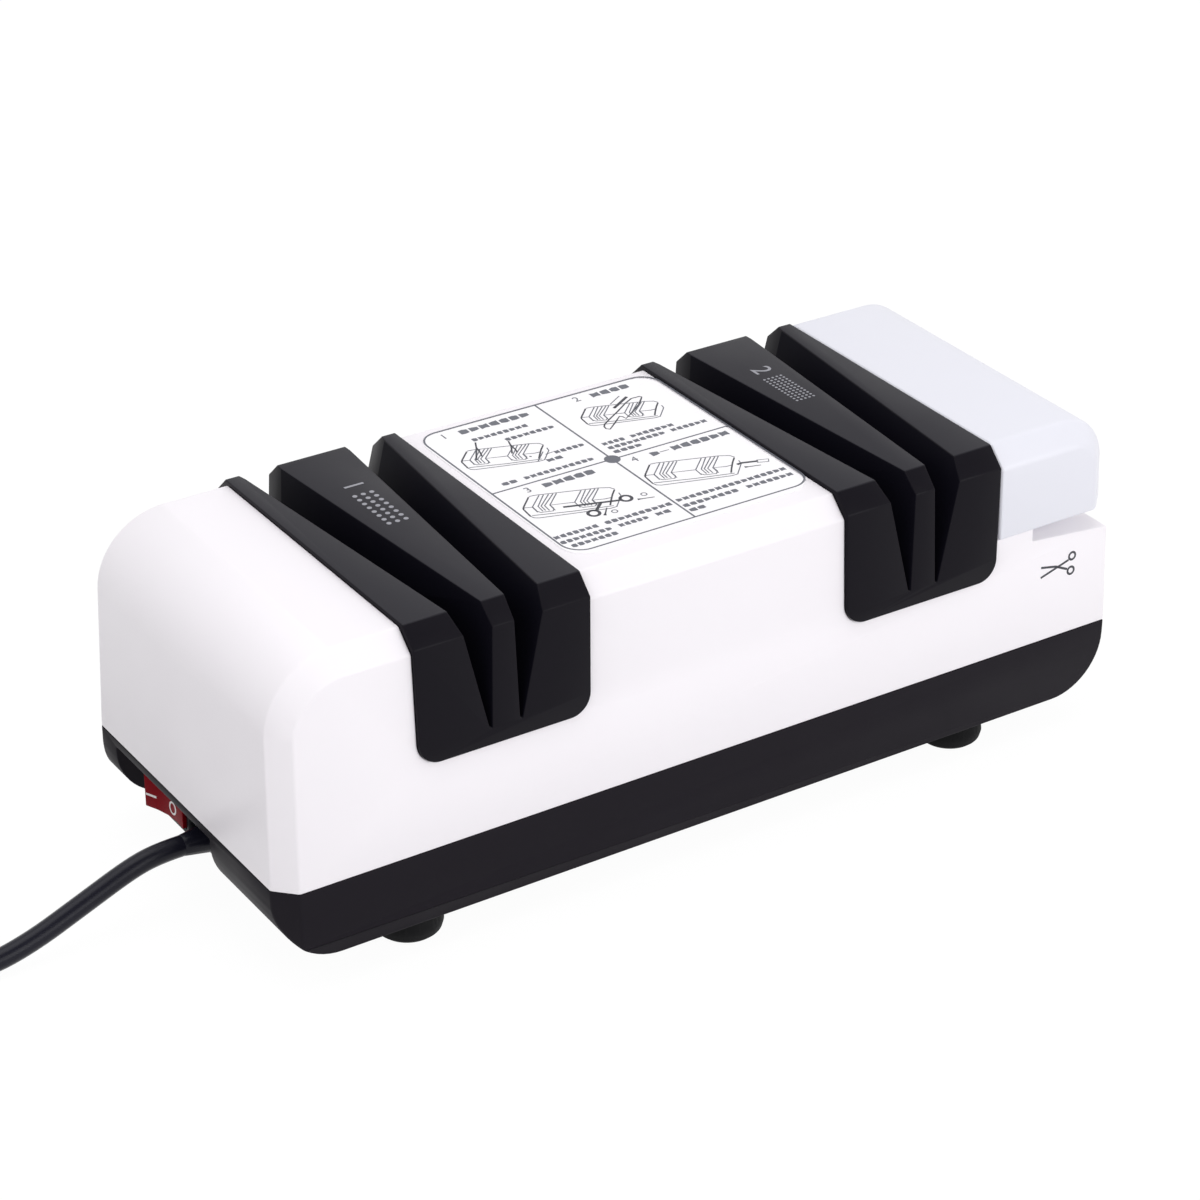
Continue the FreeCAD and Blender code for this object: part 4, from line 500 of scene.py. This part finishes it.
def cord_route():
    """Control points of the whole cord, in millimetres."""
    drop = GLAND_Z - FLOOR_Z
    points = [Vector((TIP_X - CORD_REACH * x, -CORD_SWAY * y, GLAND_Z - drop * fall))
              for x, y, fall in ((0, 0, 0), (0.084, 0, 0), (0.195, 0, 0.1), (0.403, 0.3, 0.48),
                                 (0.61, 0.8, 0.83), (0.79, 1.0, 1.0), (1.0, 0, 1.0))]
    points.append(Vector((-COIL_X + 6, 0, FLOOR_Z)))
    steps = int((COIL_IN + 0.5 + COIL_OUT) * COIL_STEPS)
    points += [coil_point(index / COIL_STEPS) for index in range(steps + 1)]
    end = points[-1] + Vector((-6, 0, 0))
    plug = end + Vector((-50, -7, PLUG_Z - end.z))
    points += [end, end + Vector((-13, 0, 0)), plug + Vector((13, 0, 0)), plug]
    return points


class SHARPENER_OT_cord(bpy.types.Operator):
    """Lay the mains cord from the strain relief through its coil to the plug"""
    bl_idname = "sharpener.cord"
    bl_label = "Mains cord"

    def execute(self, context):
        curve = bpy.data.curves.new("power_cord", "CURVE")
        curve.dimensions = "3D"
        points = cord_route()
        spline = curve.splines.new("NURBS")
        spline.points.add(len(points) - 1)
        for spot, point in zip(spline.points, points):
            spot.co = (*(point * MM), 1.0)
        spline.order_u = 3
        spline.use_endpoint_u = True
        spline.resolution_u = 6
        curve.bevel_depth = sizes().cord_diameter / 2
        curve.bevel_resolution = 5
        curve.use_fill_caps = True
        cord = link("power_cord", curve)
        dress(cord, FINISHES["pvc_black"], "housing", "cord_black",
              "mains_cord", "cord_coil", "cord_tail")
        return {"FINISHED"}


# Moulded pieces

def moulded(node, name, finish, slot, radius=None, segments=2):
    piece = softened(node, name, sizes().edge if radius is None else radius, segments)
    return dress(piece, FINISHES[finish], "housing", slot, node)


def eased(value, low, high):
    """Zero at low, one at high, with level ends."""
    t = min(max((value - low) / (high - low), 0.0), 1.0)
    return t * t * (3 - 2 * t)


def weigh_edges(piece, weigh):
    """Give each edge the share of the bevel width that weigh(low, high) returns."""
    layer = piece.data.attributes.new("bevel_weight_edge", "FLOAT", "EDGE")
    for edge in piece.data.edges:
        ends = [piece.data.vertices[i].co / MM for i in edge.vertices]
        layer.data[edge.index].value = weigh(*ends)


def block(name, low, high):
    """A block between two corners in millimetres, its mesh in place."""
    deselect()
    bpy.ops.mesh.primitive_cube_add(size=1)
    piece = bpy.context.active_object
    piece.name = name
    low, high = Vector(low) * MM, Vector(high) * MM
    place = Matrix.Translation((low + high) / 2) @ Matrix.Diagonal((*(high - low), 1.0))
    settle(piece, place)
    return piece


def carve(piece, cutter):
    apply_modifier(piece, "BOOLEAN", object=cutter, operation="DIFFERENCE", solver="EXACT")
    bpy.data.objects.remove(cutter)


CAP_DRAFT, CAP_LEAN = 1.16, 0.5
CAP_ROUND, CAP_CUT, CAP_SOFT = 14.0, 6.0, 1.2
CAP_SPACE_Y, CAP_SPACE_X, CAP_FLOOR, CAP_ROOF = 48.5, 130.5, 2.6, 6.5
NEAR = 0.01


def shape_cap():
    """The cap: a drafted block with a round end, cut rims, soft edges and its hollow."""
    low, high = (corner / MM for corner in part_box("end_cap"))
    end = CAD_BOX[1][0] / MM - 0.1
    cap = block("cap_moulding", (low.x, low.y, low.z), (end, high.y, high.z))
    for vertex in cap.data.vertices:
        if vertex.co.z > (low.z + 1) * MM:
            vertex.co.y *= 1 - CAP_DRAFT / high.y
            if vertex.co.x > (end - 20) * MM:
                vertex.co.x -= CAP_LEAN * MM

    def round_end(a, b):
        return float(min(a.z, b.z) > high.z - NEAR and min(a.x, b.x) > end - 10)

    def rims(a, b):
        along_side = abs(a.y - b.y) <= 1.5 and min(abs(a.y), abs(b.y)) >= CAP_SPACE_Y
        return float(along_side and max(a.z, b.z) >= low.z + NEAR
                     and max(a.x, b.x) >= low.x + 0.1)

    weigh_edges(cap, round_end)
    apply_modifier(cap, "BEVEL", width=CAP_ROUND * MM, segments=14, limit_method="WEIGHT")
    cap.data.attributes.remove(cap.data.attributes["bevel_weight_edge"])
    weigh_edges(cap, rims)
    apply_modifier(cap, "BEVEL", width=CAP_CUT * MM, segments=1, limit_method="WEIGHT",
                   offset_type="OFFSET", use_clamp_overlap=False)
    apply_modifier(cap, "BEVEL", width=CAP_SOFT * MM, segments=3, limit_method="ANGLE",
                   angle_limit=math.radians(24))
    carve(cap, block("cap_space", (low.x + CAP_FLOOR, -CAP_SPACE_Y, low.z + CAP_FLOOR),
                     (CAP_SPACE_X, CAP_SPACE_Y, high.z - CAP_ROOF)))
    smooth(cap, 20)
    return cap


class SHARPENER_OT_housing(bpy.types.Operator):
    """Mould the upper housing, the tray and the cap"""
    bl_idname = "sharpener.housing"
    bl_label = "Housing"

    def execute(self, context):
        moulded("upper_shell", "housing_moulding", "abs_satin_white", "white_plastic")
        moulded("base_tray", "tray_moulding", "abs_dark_grey", "dark_grey_plastic")
        dress(shape_cap(), FINISHES["abs_cool_white"], "housing", "cap_white", "end_cap")
        return {"FINISHED"}


SLOT_BAND = 25.0
GUIDE_BACK, LEAD_IN, FLARE = 56.0, 9.5, 1.2


def slot_walls(piece, centre, depth):
    """The steep faces of the slots that reach past a depth, in millimetres, to the back."""
    vertices = piece.data.vertices
    return [face for face in piece.data.polygons
            if abs(face.normal.x) > 0.8 and abs(face.center.x - centre) < SLOT_BAND * MM
            and max(vertices[i].co.y for i in face.vertices) > depth * MM]


def open_slots(piece, centre):
    """Flare the last millimetres of the slot walls at the back, where a blade is led in."""
    start = GUIDE_BACK - LEAD_IN
    chosen = [face.index for face in slot_walls(piece, centre, GUIDE_BACK - 5)]
    edit(piece)
    bpy.ops.mesh.select_mode(type="FACE")
    bpy.ops.mesh.select_all(action="DESELECT")
    bpy.ops.object.mode_set(mode="OBJECT")
    for index in chosen:
        piece.data.polygons[index].select = True
    bpy.ops.object.mode_set(mode="EDIT")
    bpy.ops.mesh.bisect(plane_co=(0, start * MM, 0), plane_no=(0, 1, 0))
    bpy.ops.mesh.select_mode(type="VERT")
    bpy.ops.object.mode_set(mode="OBJECT")
    vertices = piece.data.vertices
    moves = {}
    for face in slot_walls(piece, centre, start + NEAR):
        for index in face.vertices:
            way = -math.copysign(1, face.normal.x)
            moves[index] = way * FLARE * max(vertices[index].co.y / MM - start, 0) / LEAD_IN
    for index, move in moves.items():
        vertices[index].co.x += move * MM
    for edge in piece.data.edges:
        if all(abs(vertices[i].co.y / MM - start) < NEAR for i in edge.vertices):
            edge.use_edge_sharp = True
    return start


class SHARPENER_OT_guides(bpy.types.Operator):
    """Mould the coarse and fine knife guides"""
    bl_idname = "sharpener.guides"
    bl_label = "Knife guides"

    def execute(self, context):
        for node in ("coarse_guide", "fine_guide"):
            low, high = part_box(node)
            centre = (low.x + high.x) / 2
            piece = cad_copy(node, node + "_moulding")
            start = open_slots(piece, centre)
            # the printed mark ends level with the CAD's top
            for vertex in piece.data.vertices:
                vertex.co.z = min(vertex.co.z, high.z - sizes().ink)
            apply_modifier(piece, "BEVEL", width=sizes().edge, segments=2,
                           limit_method="ANGLE", angle_limit=math.radians(30),
                           use_clamp_overlap=False, miter_outer="MITER_ARC")
            smooth(piece)
            dress(piece, FINISHES["abs_black_grained"], "housing", "black_plastic", node)
            # painted shade: steep slot faces in front of the lead-in, above 60 mm, take the
            # darker slot black
            piece.data.materials.append(FINISHES["abs_black_painted_slot_shade"])
            for face in piece.data.polygons:
                spot, way = face.center / MM, face.normal
                steep = abs(way.x) > 0.3 and abs(way.y) < 0.7 and way.z < 0.5
                if steep and abs(spot.x - centre / MM) < SLOT_BAND and spot.y < start:
                    face.material_index = int(spot.z > 60)
        return {"FINISHED"}


class SHARPENER_OT_feet(bpy.types.Operator):
    """Mould the four rubber feet"""
    bl_idname = "sharpener.feet"
    bl_label = "Feet"

    def execute(self, context):
        for node in sorted(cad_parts):
            if node.startswith("foot_") and node != "foot_screws":
                moulded(node, node + "_rubber", "rubber_black", "rubber")
        return {"FINISHED"}


# Print

def to_mesh(piece):
    pick(piece)
    bpy.ops.object.convert(target="MESH")
    return bpy.context.active_object


def print_lines(name, lines, width, matrix):
    """Printed lines, as one thin mesh: open or closed rows of points in millimetres.

    A point's third number, if it has one, is its share of the line's width.
    """
    curve = bpy.data.curves.new(name, "CURVE")
    curve.dimensions = "3D"
    curve.bevel_depth = width / 2 * MM
    curve.bevel_resolution = 1
    curve.use_fill_caps = True
    for line, closed in lines:
        spline = curve.splines.new("POLY")
        spline.points.add(len(line) - 1)
        for spot, (x, y, *share) in zip(spline.points, line):
            spot.co = (x * MM, y * MM, 0.0, 1.0)
            spot.radius = share[0] if share else 1.0
        spline.use_cyclic_u = closed
    piece = to_mesh(link(name, curve))
    flat = sizes().ink / (width * MM)
    edit(piece)
    bpy.ops.transform.resize(value=(1, 1, flat), center_override=(0, 0, 0))
    bpy.ops.object.mode_set(mode="OBJECT")
    settle(piece, matrix)
    smooth(piece, 60)
    return piece


def print_text(name, text, size, spot, turn, matrix):
    """A printed numeral, as a thin mesh, centred on its spot in millimetres."""
    deselect()
    bpy.ops.object.text_add()
    piece = bpy.context.active_object
    piece.name = name
    piece.data.body = text
    piece.data.size = size * MM
    piece.data.align_x = "CENTER"
    piece.data.align_y = "CENTER"
    piece.data.extrude = sizes().ink / 2
    piece.data.resolution_u = 6
    piece = to_mesh(piece)
    settle(piece, matrix @ Matrix.Translation((spot[0] * MM, spot[1] * MM, 0))
           @ Matrix.Rotation(turn, 4, "Z"))
    return piece


def print_discs(name, spots, radius, matrix):
    """Printed dots, as thin discs at spots in millimetres."""
    discs = []
    for x, y in spots:
        deselect()
        bpy.ops.mesh.primitive_cylinder_add(vertices=20, radius=radius * MM,
                                            depth=sizes().ink, location=(x * MM, y * MM, 0))
        discs.append(bpy.context.active_object)
    deselect()
    for disc in discs:
        disc.select_set(True)
    bpy.context.view_layer.objects.active = discs[0]
    bpy.ops.object.join()
    piece = bpy.context.active_object
    piece.name = name
    bpy.ops.object.transform_apply(location=True, rotation=True, scale=True)
    settle(piece, matrix)
    smooth(piece, 60)
    return piece


def circle(x, y, radius, count=20):
    return [(x + radius * math.cos(2 * math.pi * i / count),
             y + radius * math.sin(2 * math.pi * i / count)) for i in range(count)]


def blots(rows, cell, gap):
    """Rows of uneven blots of ink that stand where words would be: (left, right, height)."""
    shapes = ((0.9, 1.0, 0.75), (1.0, 0.7, 0.95), (0.65, 1.0, 0.85), (0.9, 0.8, 0.55),
              (0.7, 0.95, 1.0))
    lines = []
    for left, right, y in rows:
        count = max(round((right - left + gap) / (cell + gap)), 1)
        pitch = (right - left + gap) / count
        for index in range(count):
            x = left + pitch * index
            a, b, c = shapes[len(lines) * 3 % 5]
            lines.append(([(x, y, a), (x + (pitch - gap) / 2, y, b), (x + pitch - gap, y, c)],
                          False))
    return lines


def icon(x, y, scale):
    """Outline drawing of a sharpener in slanting view: its pale lines and its dark ones."""
    along, across, tall = Vector((24.2, -8.0)), Vector((5.4, 5.0)), Vector((0.6, 5.5))

    def run(*spots):
        return ([tuple(Vector((x, y)) + (along * a + across * c + tall * t) * scale)
                 for a, c, t in spots], False)

    pale = [run((0, 1, 1), (0.06, 1.06, 1), (0.8, 1.05, 1), (0.93, 0.98, 0.98), (1, 0.8, 0.95)),
            run((0, 0, 0), (0.02, 0, -0.2), (0.07, 0, -0.28), (0.9, 0, -0.15), (0.97, 0.05, -0.1),
                (1, 0.75, 0.2), (1, 0.8, 0.5)),
            run((0.02, 0, 0.06), (0.5, 0, 0.02), (0.96, 0, 0.1)),
            run((0, 0, 1), (0.12, 0, 0.98), (0.12, 0, 0.55)),
            run((0.32, 0, 0.55), (0.32, 0, 0.98), (0.595, 0, 0.98)),
            run((0.81, 0, 0.55), (0.81, 0, 0.98), (0.95, 0, 0.95), (1, 0.1, 0.9))]
    for middle in (0.215, 0.7):
        for foot, head in ((-0.1, -0.1), (-0.035, -0.05), (0.0, 0.01), (0.04, 0.06), (0.1, 0.1)):
            pale.append(run((middle + foot, 0, 0.45 - abs(foot)), (middle + foot, 0, 0.98),
                            (middle + head, 1, 1)))
        pale.append(run((middle - 0.1, 0, 0.5), (middle - 0.07, 0, 0.3), (middle + 0.07, 0, 0.3),
                        (middle + 0.1, 0, 0.5)))
    dark = [run((0, 0, 0), (0, 0, 0.85), (0.01, 0.12, 1), (0, 0.95, 1)),
            run((0.93, 0, 0.2), (0.96, 0.1, 0.5), (1, 0.35, 0.9), (1, 0.75, 0.95))]
    return pale, dark


def rounded(x0, x1, y0, y1, radius, count=8):
    line = []
    for cx, cy, start in ((x1 - radius, y1 - radius, 0), (x0 + radius, y1 - radius, 90),
                          (x0 + radius, y0 + radius, 180), (x1 - radius, y0 + radius, 270)):
        for index in range(count + 1):
            angle = math.radians(start + 90 * index / count)
            line.append((cx + radius * math.cos(angle), cy + radius * math.sin(angle)))
    return line


class SHARPENER_OT_panel(bpy.types.Operator):
    """Print the instruction panel: four cells with drawings and rows of blots, no words"""
    bl_idname = "sharpener.panel"
    bl_label = "Instruction panel"

    def execute(self, context):
        moulded("instruction_panel", "label", "label_film", "printed_panel", 0.0)
        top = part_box("instruction_panel")[1].z + sizes().ink / 2
        lie = Matrix.Translation((0, 0, top))
        frame_lines = [(rounded(-38.2, 42.1, -38.9, 44.5, 6.2), True),
                       ([(1.9, -38.9), (1.9, 44.5)], False), ([(-38.2, 2.8), (42.1, 2.8)], False)]
        pale, dark = [], []
        for x, y, scale in ((-35.6, 20.0, 0.89), (8.2, 25.4, 0.87), (-36.2, -14.3, 0.98),
                            (3.2, -16.0, 0.99)):
            light, strong = icon(x, y, scale)
            pale += light
            dark += strong
        pale += [([(-9.9, 15.8), (-12.4, 15.6)], False), ([(-16.6, 13.0), (-12.2, 17.4)], False),
                 ([(21.0, 33.0), (26.2, 36.2)], False), ([(15.8, -0.7), (18.9, -0.8)], False),
                 ([(36.2, -19.7), (39.5, -20.9), (38.6, -22.3), (35.4, -21.0)], False)]
        pale += [(circle(x, y, 0.85, 12), True) for x, y in ((-15.0, -24.2), (-2.5, -20.0))]
        dark += [([(-25.4, 32.8), (-27.0, 29.6), (-29.5, 25.5), (-31.0, 23.0)], False),
                 ([(-26.9, 29.6), (-27.6, 26.4), (-28.4, 24.2)], False),
                 ([(-17.0, 28.4), (-17.9, 25.4), (-19.0, 23.4), (-20.2, 21.2)], False),
                 ([(-17.9, 25.4), (-18.0, 23.0), (-18.6, 21.0)], False),
                 ([(-17.1, 16.9), (-16.5, 16.6)], False),
                 ([(11.9, 19.2), (11.1, 20.2), (11.4, 21.6), (12.4, 22.8), (16.0, 25.2),
                   (20.0, 27.7), (25.0, 31.1), (28.3, 32.9), (31.0, 32.8), (31.5, 32.2),
                   (30.4, 30.9), (28.0, 28.4), (24.2, 25.6), (19.7, 22.6), (19.5, 24.0),
                   (18.8, 24.8), (15.2, 21.8)], True)]
        heavy = [([(-25.7, -14.5), (-10.0, -19.5)], False), (circle(-8.1, -19.4, 1.65), True),
                 ([(-15.4, -17.8), (-19.0, -21.1)], False), (circle(-20.5, -22.1, 1.65), True),
                 ([(29.9, -19.0), (31.6, -18.9), (36.2, -20.4)], False),
                 ([(20.8, 30.4), (27.8, 34.6)], False)]
        heads = [([(-15.7, -21.3, 0.4), (-17.8, -23.8, 0.5), (-18.6, -24.8, 1.1)], False),
                 ([(-0.9, -23.0, 0.4), (-4.6, -22.0, 0.5), (-5.7, -21.7, 1.1)], False),
                 ([(35.5, -22.9, 0.4), (31.9, -21.9, 0.5), (30.8, -21.5, 1.1)], False),
                 ([(20.4, 30.2, 1.0), (21.2, 30.7, 1.0)], False)]
        rows = [(-25.4, -7.0, 34.4), (-17.2, -1.0, 29.6), (-9.6, 0.1, 15.2), (-14.2, -9.3, 11.9),
                (-32.8, -28.1, 6.1), (-25.4, -2.5, 6.1), (4.7, 12.0, 12.1), (14.4, 28.9, 12.1),
                (4.7, 23.9, 9.1), (26.4, 38.5, 9.1), (4.7, 14.0, 6.2), (-37.6, -23.6, -28.7),
                (-21.0, 0.7, -28.7), (-37.6, -21.3, -32.0), (-18.6, -9.2, -32.0),
                (-6.4, -1.9, -32.0), (-36.0, -21.3, -35.1), (3.0, 40.0, -28.2),
                (2.8, 21.0, -31.9), (24.3, 39.8, -31.9), (2.8, 7.8, -35.0)]
        titles = [(-26.0, -2.8, 40.5), (19.3, 32.2, 40.8), (-23.4, -6.6, -0.6),
                  (12.8, 15.4, -0.7), (20.0, 39.4, -0.7)]
        ink, grey = FINISHES["ink_dark"], FINISHES["ink_grey"]
        for name, lines, width, finish in (
                ("label_frame", frame_lines, 0.6, grey), ("label_drawings", pale, 0.36, grey),
                ("label_tools", dark, 0.5, ink), ("label_tools_heavy", heavy, 0.95, ink),
                ("label_arrows", heads, 0.9, ink),
                ("label_rows", blots(rows, 1.7, 0.5), 1.95, grey),
                ("label_titles", blots(titles, 2.6, 0.6), 2.8, grey)):
            dress(print_lines(name, lines, width, lie), finish, "housing", "printed_panel")
        dot = print_discs("label_dot", [(1.9, 2.8)], 2.4, lie)
        dress(dot, grey, "housing", "printed_panel")
        for index, spot in enumerate(((-31.2, 40.7), (14.3, 40.9), (-28.5, -0.6), (7.2, -0.7))):
            digit = print_text("label_numeral_%d" % (index + 1), str(index + 1), 4.2, spot, 0.0,
                               lie)
            dress(digit, grey, "housing", "printed_panel")
        return {"FINISHED"}


class SHARPENER_OT_marks(bpy.types.Operator):
    """Print the numerals on the guides and the scissors sign on the housing"""
    bl_idname = "sharpener.marks"
    bl_label = "Marks"

    def execute(self, context):
        lie = Matrix.Translation((0, 0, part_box("coarse_guide")[1].z - sizes().ink / 2))
        for tag, x, y, step, across, down in (("1", -69.3, 26.5, 2.7, 3, 8),
                                              ("2", 70.5, 26.5, 1.5, 5, 12)):
            digit = print_text("guide_numeral_" + tag, tag, 9.0, (x, y), -math.pi / 2, lie)
            dress(digit, FINISHES["ink_pale"], "housing", "black_plastic")
            spots = [(x + (column - (across - 1) / 2) * step, y - 6.0 - row * step)
                     for row in range(down) for column in range(across)]
            piece = print_discs("guide_dots_" + tag, spots, step * 0.27, lie)
            dress(piece, FINISHES["ink_pale"], "housing", "black_plastic")
        # the front wall leans back 2.65 mm over 66 mm from the seam at 32.8 mm
        draft, tall, seam, half_width, z = 2.65, 66.0, 32.8, 56.0, 55.5
        slope = math.atan2(draft, tall)
        wall = -(half_width - draft * (z - seam) / tall)
        stand = (Matrix.Translation((0, (wall - 0.02) * MM, z * MM))
                 @ Matrix.Rotation(math.pi / 2 - slope, 4, "X"))
        sign = [([(114.8, -1.6), (125.2, 1.4)], False), (circle(126.5, 2.4, 1.2, 14), True),
                ([(114.8, 1.7), (120.3, 0.6), (124.8, -1.5)], False),
                (circle(126.2, -2.3, 1.2, 14), True)]
        piece = print_lines("scissors_sign", sign, 0.72, stand)
        dress(piece, FINISHES["ink_dark"], "housing", "white_plastic")
        return {"FINISHED"}


# Switch

def rocker_face(along, out, slope):
    """A frame on the rocker's face: its X against the key's length, Y up, Z out."""
    angle = math.radians(slope)
    key = (Matrix.Translation(Vector((-130.4, 23.5, 19.2)) * MM)
           @ Matrix.Rotation(math.radians(101), 4, "Z")
           @ Matrix.Translation(Vector((along, out + 0.02, 0)) * MM))
    face = Matrix(((-math.cos(angle), 0, -math.sin(angle), 0),
                   (-math.sin(angle), 0, math.cos(angle), 0),
                   (0, 1, 0, 0), (0, 0, 0, 1)))
    return key @ face


class SHARPENER_OT_switch(bpy.types.Operator):
    """Fit the switch frame and the red rocker with its two signs"""
    bl_idname = "sharpener.switch"
    bl_label = "Switch"

    def execute(self, context):
        moulded("switch_body", "switch_frame", "nylon_black", "black_plastic", 0.3 * MM, 3)
        rocker = softened("switch_rocker", "rocker_key", 0.3 * MM, 3)
        dress(rocker, FINISHES["polycarbonate_red"], "rocker", "red_plastic", "switch_rocker")
        bar = print_lines("rocker_on_sign", [([(-1.9, 0), (1.9, 0)], False)], 0.75,
                          rocker_face(6.3, 4.37, 13.1))
        ring = print_lines("rocker_off_sign",
                           [([(x, y * 1.25 - 0.4) for x, y in circle(0, 0, 1.5)], True)], 0.6,
                           rocker_face(-2.7, 3.76, -5.3))
        for sign in (bar, ring):
            dress(sign, FINISHES["ink_white"], "rocker", "red_plastic")
        return {"FINISHED"}


# Motor and drive line

INNER = (
    ("Motor", (("stator_core", "laminated_sheet", "lamination_steel"),
               ("field_coils", "enamelled_copper", "copper"),
               ("motor_bracket_left", "zinc_die_cast", "die_cast"),
               ("motor_bracket_right", "zinc_die_cast", "die_cast"),
               ("bearing_pedestal", "zinc_die_cast", "die_cast"),
               ("bearing_left", "ground_steel", "bearing_steel"),
               ("bearing_right", "ground_steel", "bearing_steel"),
               ("bearing_outer", "ground_steel", "bearing_steel"),
               ("brush_holders", "phenolic_brown", "black_plastic"),
               ("carbon_brushes", "graphite", "carbon"))),
    ("Fasteners", (("motor_bolts", "zinc_plated_steel", "steel"),
                   ("mount_screws", "zinc_plated_steel", "steel"),
                   ("housing_screws", "zinc_plated_steel", "steel"),
                   ("foot_screws", "zinc_plated_steel", "steel"),
                   ("switch_terminals", "brass_turned", "brass"),
                   ("cord_clamp", "nylon_black", "black_plastic"),
                   ("inner_cord", "pvc_black", "cord_black"),
                   ("inner_leads", "pvc_brown", "lead_insulation"))),
    ("Drive", (("drive_shaft", "ground_steel", "steel"),
               ("armature_core", "laminated_sheet", "lamination_steel"),
               ("armature_winding", "enamelled_copper", "copper"),
               ("commutator", "brass_turned", "brass"),
               ("cooling_fan", "nylon_black", "fan_plastic"),
               ("coarse_wheel", "corundum_coarse", "coarse_abrasive"),
               ("fine_wheel", "corundum_fine", "fine_abrasive"),
               ("scissor_wheel", "corundum_fine", "fine_abrasive"),
               ("shaft_collars", "zinc_plated_steel", "steel"),
               ("wheel_nuts", "brass_turned", "brass"))),
)


def inner_pieces(group, body):
    for node, finish, slot in dict(INNER)[group]:
        piece = softened(node, node + "_part", 0.0)
        dress(piece, FINISHES[finish], body, slot, node)


class SHARPENER_OT_motor(bpy.types.Operator):
    """Build the standing half of the motor with its bearings and brushes"""
    bl_idname = "sharpener.motor"
    bl_label = "Motor"

    def execute(self, context):
        inner_pieces("Motor", "housing")
        return {"FINISHED"}


class SHARPENER_OT_fasteners(bpy.types.Operator):
    """Put in the screws, contacts, clamp and leads"""
    bl_idname = "sharpener.fasteners"
    bl_label = "Fasteners and leads"

    def execute(self, context):
        inner_pieces("Fasteners", "housing")
        return {"FINISHED"}


class SHARPENER_OT_drive(bpy.types.Operator):
    """Build the turning line: shaft, armature, fan and the three wheels"""
    bl_idname = "sharpener.drive"
    bl_label = "Drive line"

    def execute(self, context):
        inner_pieces("Drive", "rotor")
        return {"FINISHED"}


# Strain relief, strap and plug

class SHARPENER_OT_cord_ends(bpy.types.Operator):
    bl_idname = "sharpener.cord_ends"
    bl_label = "Cord fittings"

    def execute(self, context):
        relief = moulded("cord_gland", "strain_relief", "pvc_black", "cord_black", 0.15 * MM)
        # the last 9 mm narrow until they hug the cord
        for vertex in relief.data.vertices:
            tip = 1 - 0.145 * eased(-vertex.co.x / MM, -TIP_X - 9, -TIP_X)
            vertex.co.y *= tip
            vertex.co.z = GLAND_Z * MM + (vertex.co.z - GLAND_Z * MM) * tip
        moulded("cord_tie", "strap", "woven_strap", "strap_black", 0.3 * MM)
        plug = moulded("plug_body", "plug", "pvc_black", "cord_black", 0.8 * MM, 4)
        pins = moulded("plug_pins", "pins", "nickel_plate", "pin_metal", 0.6 * MM, 3)
        return {"FINISHED"}


class SHARPENER_PT_panel(bpy.types.Panel):
    """Lists the steps that dress the sharpener"""
    bl_idname = "SHARPENER_PT_panel"
    bl_label = "Knife sharpener"
    bl_space_type = "VIEW_3D"
    bl_region_type = "UI"
    bl_category = "Sharpener"

    def draw(self, context):
        for group in (context.scene.sharpener_colours, context.scene.sharpener_sizes):
            for key in group.__annotations__:
                self.layout.prop(group, key)
        for step in STEPS:
            self.layout.operator(step.bl_idname)


STEPS = (SHARPENER_OT_camera, SHARPENER_OT_finishes, SHARPENER_OT_cord, SHARPENER_OT_housing,
         SHARPENER_OT_guides, SHARPENER_OT_feet, SHARPENER_OT_panel, SHARPENER_OT_marks,
         SHARPENER_OT_switch, SHARPENER_OT_motor, SHARPENER_OT_fasteners, SHARPENER_OT_drive,
         SHARPENER_OT_cord_ends, SHARPENER_OT_stage)
CLASSES = (SharpenerColours, SharpenerSizes, SHARPENER_PT_panel) + STEPS


def register():
    for item in CLASSES:
        bpy.utils.register_class(item)
    bpy.types.Scene.sharpener_colours = PointerProperty(type=SharpenerColours)
    bpy.types.Scene.sharpener_sizes = PointerProperty(type=SharpenerSizes)


def unregister():
    del bpy.types.Scene.sharpener_sizes
    del bpy.types.Scene.sharpener_colours
    for item in reversed(CLASSES):
        bpy.utils.unregister_class(item)


def main():
    register()
    for step in STEPS:
        group, name = step.bl_idname.split(".")
        getattr(getattr(bpy.ops, group), name)()


if __name__ == "__main__":
    main()
